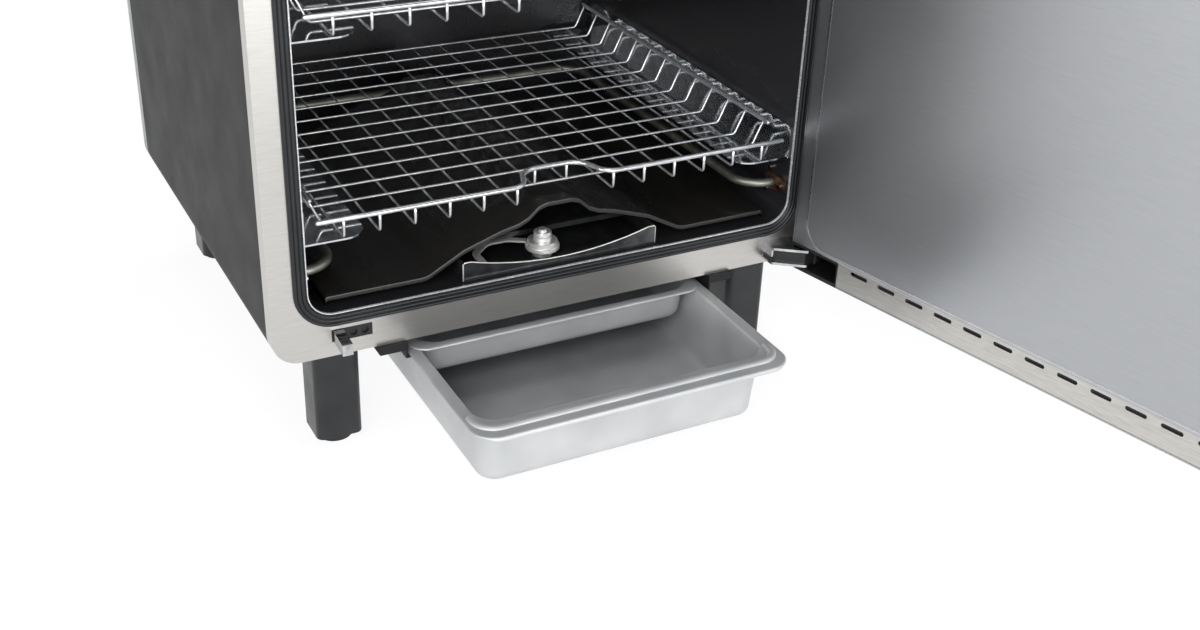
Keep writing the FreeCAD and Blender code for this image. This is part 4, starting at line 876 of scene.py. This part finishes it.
class MakeScrews(bpy.types.Operator):
    """Pan-head screws round the back panel"""
    bl_idname = "smoker.screws"
    bl_label = "Back screws"

    def execute(self, context):
        head = [(3.6, 0), (3.7, 0.5), (3.3, 1.4), (2.4, 2.0), (1.3, 2.2), (1.1, 1.5)]
        spots = [(x, z) for x in (-208, 208) for z in (40, 180, 320, 460, 600)]
        spots += [(x, z) for x in (-70, 70) for z in (12, 628)]
        parts = []
        for x, z in spots:
            parts.append(turned(head, lambda u, v, h, x=x, z=z: at(x + u, BACK_DEPTH + h, z + v), 20))
        piece("back_screws", together(parts), LOOKS["screw"], "cabinet", (), 45)
        return {"FINISHED"}


class MakeStage(bpy.types.Operator):
    """Pale floor, soft light and the camera"""
    bl_idname = "smoker.stage"
    bl_label = "Stage"

    def execute(self, context):
        scene = context.scene
        scene.view_settings.view_transform = "Standard"
        mesh = bpy.data.meshes.new("floor")
        mesh.from_pydata([(-6, -6, 0), (6, -6, 0), (6, 6, 0), (-6, 6, 0)], [], [(0, 1, 2, 3)])
        floor = bpy.data.objects.new("floor", mesh)
        scene.collection.objects.link(floor)
        look, tree, place = begin("white_card_floor")
        tone = shades(tree, grain(tree, place, 90), (0.3, "#efefef"), (0.7, "#f4f4f4"))
        matt = add(tree, "ShaderNodeBsdfDiffuse", {"Color": tone})
        glow = add(tree, "ShaderNodeEmission", {"Color": (1, 1, 1, 1), "Strength": 1.1})
        # seen straight on or mirrored, the floor is mostly an even white, and the rest keeps the shadow
        ray = add(tree, "ShaderNodeLightPath")
        kinds = {0: ray.outputs["Is Camera Ray"], 1: ray.outputs["Is Glossy Ray"]}
        seen = add(tree, "ShaderNodeMath", kinds, operation="MAXIMUM")
        share = add(tree, "ShaderNodeMath", {0: seen.outputs["Value"], 1: 0.8}, operation="MULTIPLY")
        both = add(tree, "ShaderNodeMixShader", {"Fac": share.outputs["Value"], 1: matt.outputs["BSDF"],
                                                 2: glow.outputs["Emission"]})
        add(tree, "ShaderNodeOutputMaterial", {"Surface": both.outputs["Shader"]})
        mesh.materials.append(look)

        world = bpy.data.worlds.new("studio")
        world.use_nodes = True
        tree = world.node_tree
        tree.nodes.clear()
        # the camera sees white all round, and metals mirror a sky that darkens upwards
        way = add(tree, "ShaderNodeTexCoord").outputs["Generated"]
        up = add(tree, "ShaderNodeSeparateXYZ", {"Vector": way}).outputs["Z"]
        height = spread(tree, up, 0, 1, 0.0, 1.0)
        sky = shades(tree, height, (0.0, "#f4f4f4"), (0.25, "#c8c8c8"), (0.6, "#787878"), (1.0, "#6a6a6a"))
        dim = add(tree, "ShaderNodeBackground", {"Color": sky, "Strength": 0.75})
        white = add(tree, "ShaderNodeBackground", {"Color": (1, 1, 1, 1), "Strength": 1.0})
        ray = add(tree, "ShaderNodeLightPath")
        both = add(tree, "ShaderNodeMixShader", {"Fac": ray.outputs["Is Camera Ray"],
                                                 1: dim.outputs["Background"],
                                                 2: white.outputs["Background"]})
        add(tree, "ShaderNodeOutputWorld", {"Surface": both.outputs["Shader"]})
        scene.world = world

        for name, spot, aim, wide, tall, power in (
                ("key", (-1.5, -2.2, 2.1), (0.2, 0, 0.3), 1.8, 1.4, 48),
                ("side", (2.4, -1.6, 1.2), (0.2, 0, 0.3), 1.4, 1.6, 20),
                ("top", (0.2, 0.2, 2.8), (0.2, 0, 0.3), 2.2, 2.2, 30),
                ("left", (-2.3, -0.7, 0.5), (0.1, -0.1, 0.1), 1.6, 0.8, 18),
                ("low", (0.0, -2.4, 0.45), (0.2, 0, 0.15), 2.6, 0.8, 44)):
            lamp = bpy.data.lights.new(name, "AREA")
            lamp.shape = "RECTANGLE"
            lamp.size, lamp.size_y, lamp.energy = wide, tall, power
            thing = bpy.data.objects.new(name, lamp)
            thing.location = spot
            thing.rotation_euler = (Vector(aim) - Vector(spot)).to_track_quat("-Z", "Y").to_euler()
            scene.collection.objects.link(thing)

        camera = bpy.data.cameras.new("camera")
        camera.sensor_width, camera.lens = 36.0, 44.89
        camera.clip_start, camera.clip_end = 0.01, 50
        view = bpy.data.objects.new("camera", camera)
        yaw, pitch, roll = -0.4995, 0.5101, 0.0403
        ahead = Vector((math.cos(pitch) * -math.sin(yaw), math.cos(pitch) * math.cos(yaw), -math.sin(pitch)))
        level = Vector((math.cos(yaw), math.sin(yaw), 0))
        upright = level.cross(ahead)
        right = level * math.cos(roll) + upright * math.sin(roll)
        above = upright * math.cos(roll) - level * math.sin(roll)
        turn = Matrix((right, above, -ahead)).transposed().to_4x4()
        stand = at(-441.8, -867.2, 537.7)
        view.matrix_world = Matrix.Translation(stand) @ turn
        scene.collection.objects.link(view)
        scene.camera = view
        return {"FINISHED"}


STEPS = (MakeCabinet, MakeSeal, MakeRacks, MakeHeater, MakeBaffle, MakeChipBox, MakeDrawer, MakeDoor,
         MakeHandle, MakeHinges, MakeHead, MakeScrews, MakeStage)


class SmokerPanel(bpy.types.Panel):
    """Sizes, colours and pieces of the smoker"""
    bl_idname = "VIEW3D_PT_smoker"
    bl_label = "Electric smoker"
    bl_space_type = "VIEW_3D"
    bl_region_type = "UI"
    bl_category = "Smoker"

    def draw(self, context):
        column = self.layout.column()
        for group in (context.scene.smoker_sizes, context.scene.smoker_colours):
            for name in group.__annotations__:
                column.prop(group, name)
        for step in STEPS:
            column.operator(step.bl_idname)


CLASSES = (SmokerSizes, SmokerColours) + STEPS + (SmokerPanel,)


def register():
    for kind in CLASSES:
        bpy.utils.register_class(kind)
    bpy.types.Scene.smoker_sizes = PointerProperty(type=SmokerSizes)
    bpy.types.Scene.smoker_colours = PointerProperty(type=SmokerColours)


def unregister():
    del bpy.types.Scene.smoker_colours
    del bpy.types.Scene.smoker_sizes
    for kind in reversed(CLASSES):
        bpy.utils.unregister_class(kind)


def main():
    register()
    for step in STEPS:
        group, name = step.bl_idname.split(".")
        getattr(getattr(bpy.ops, group), name)()


if __name__ == "__main__":
    main()
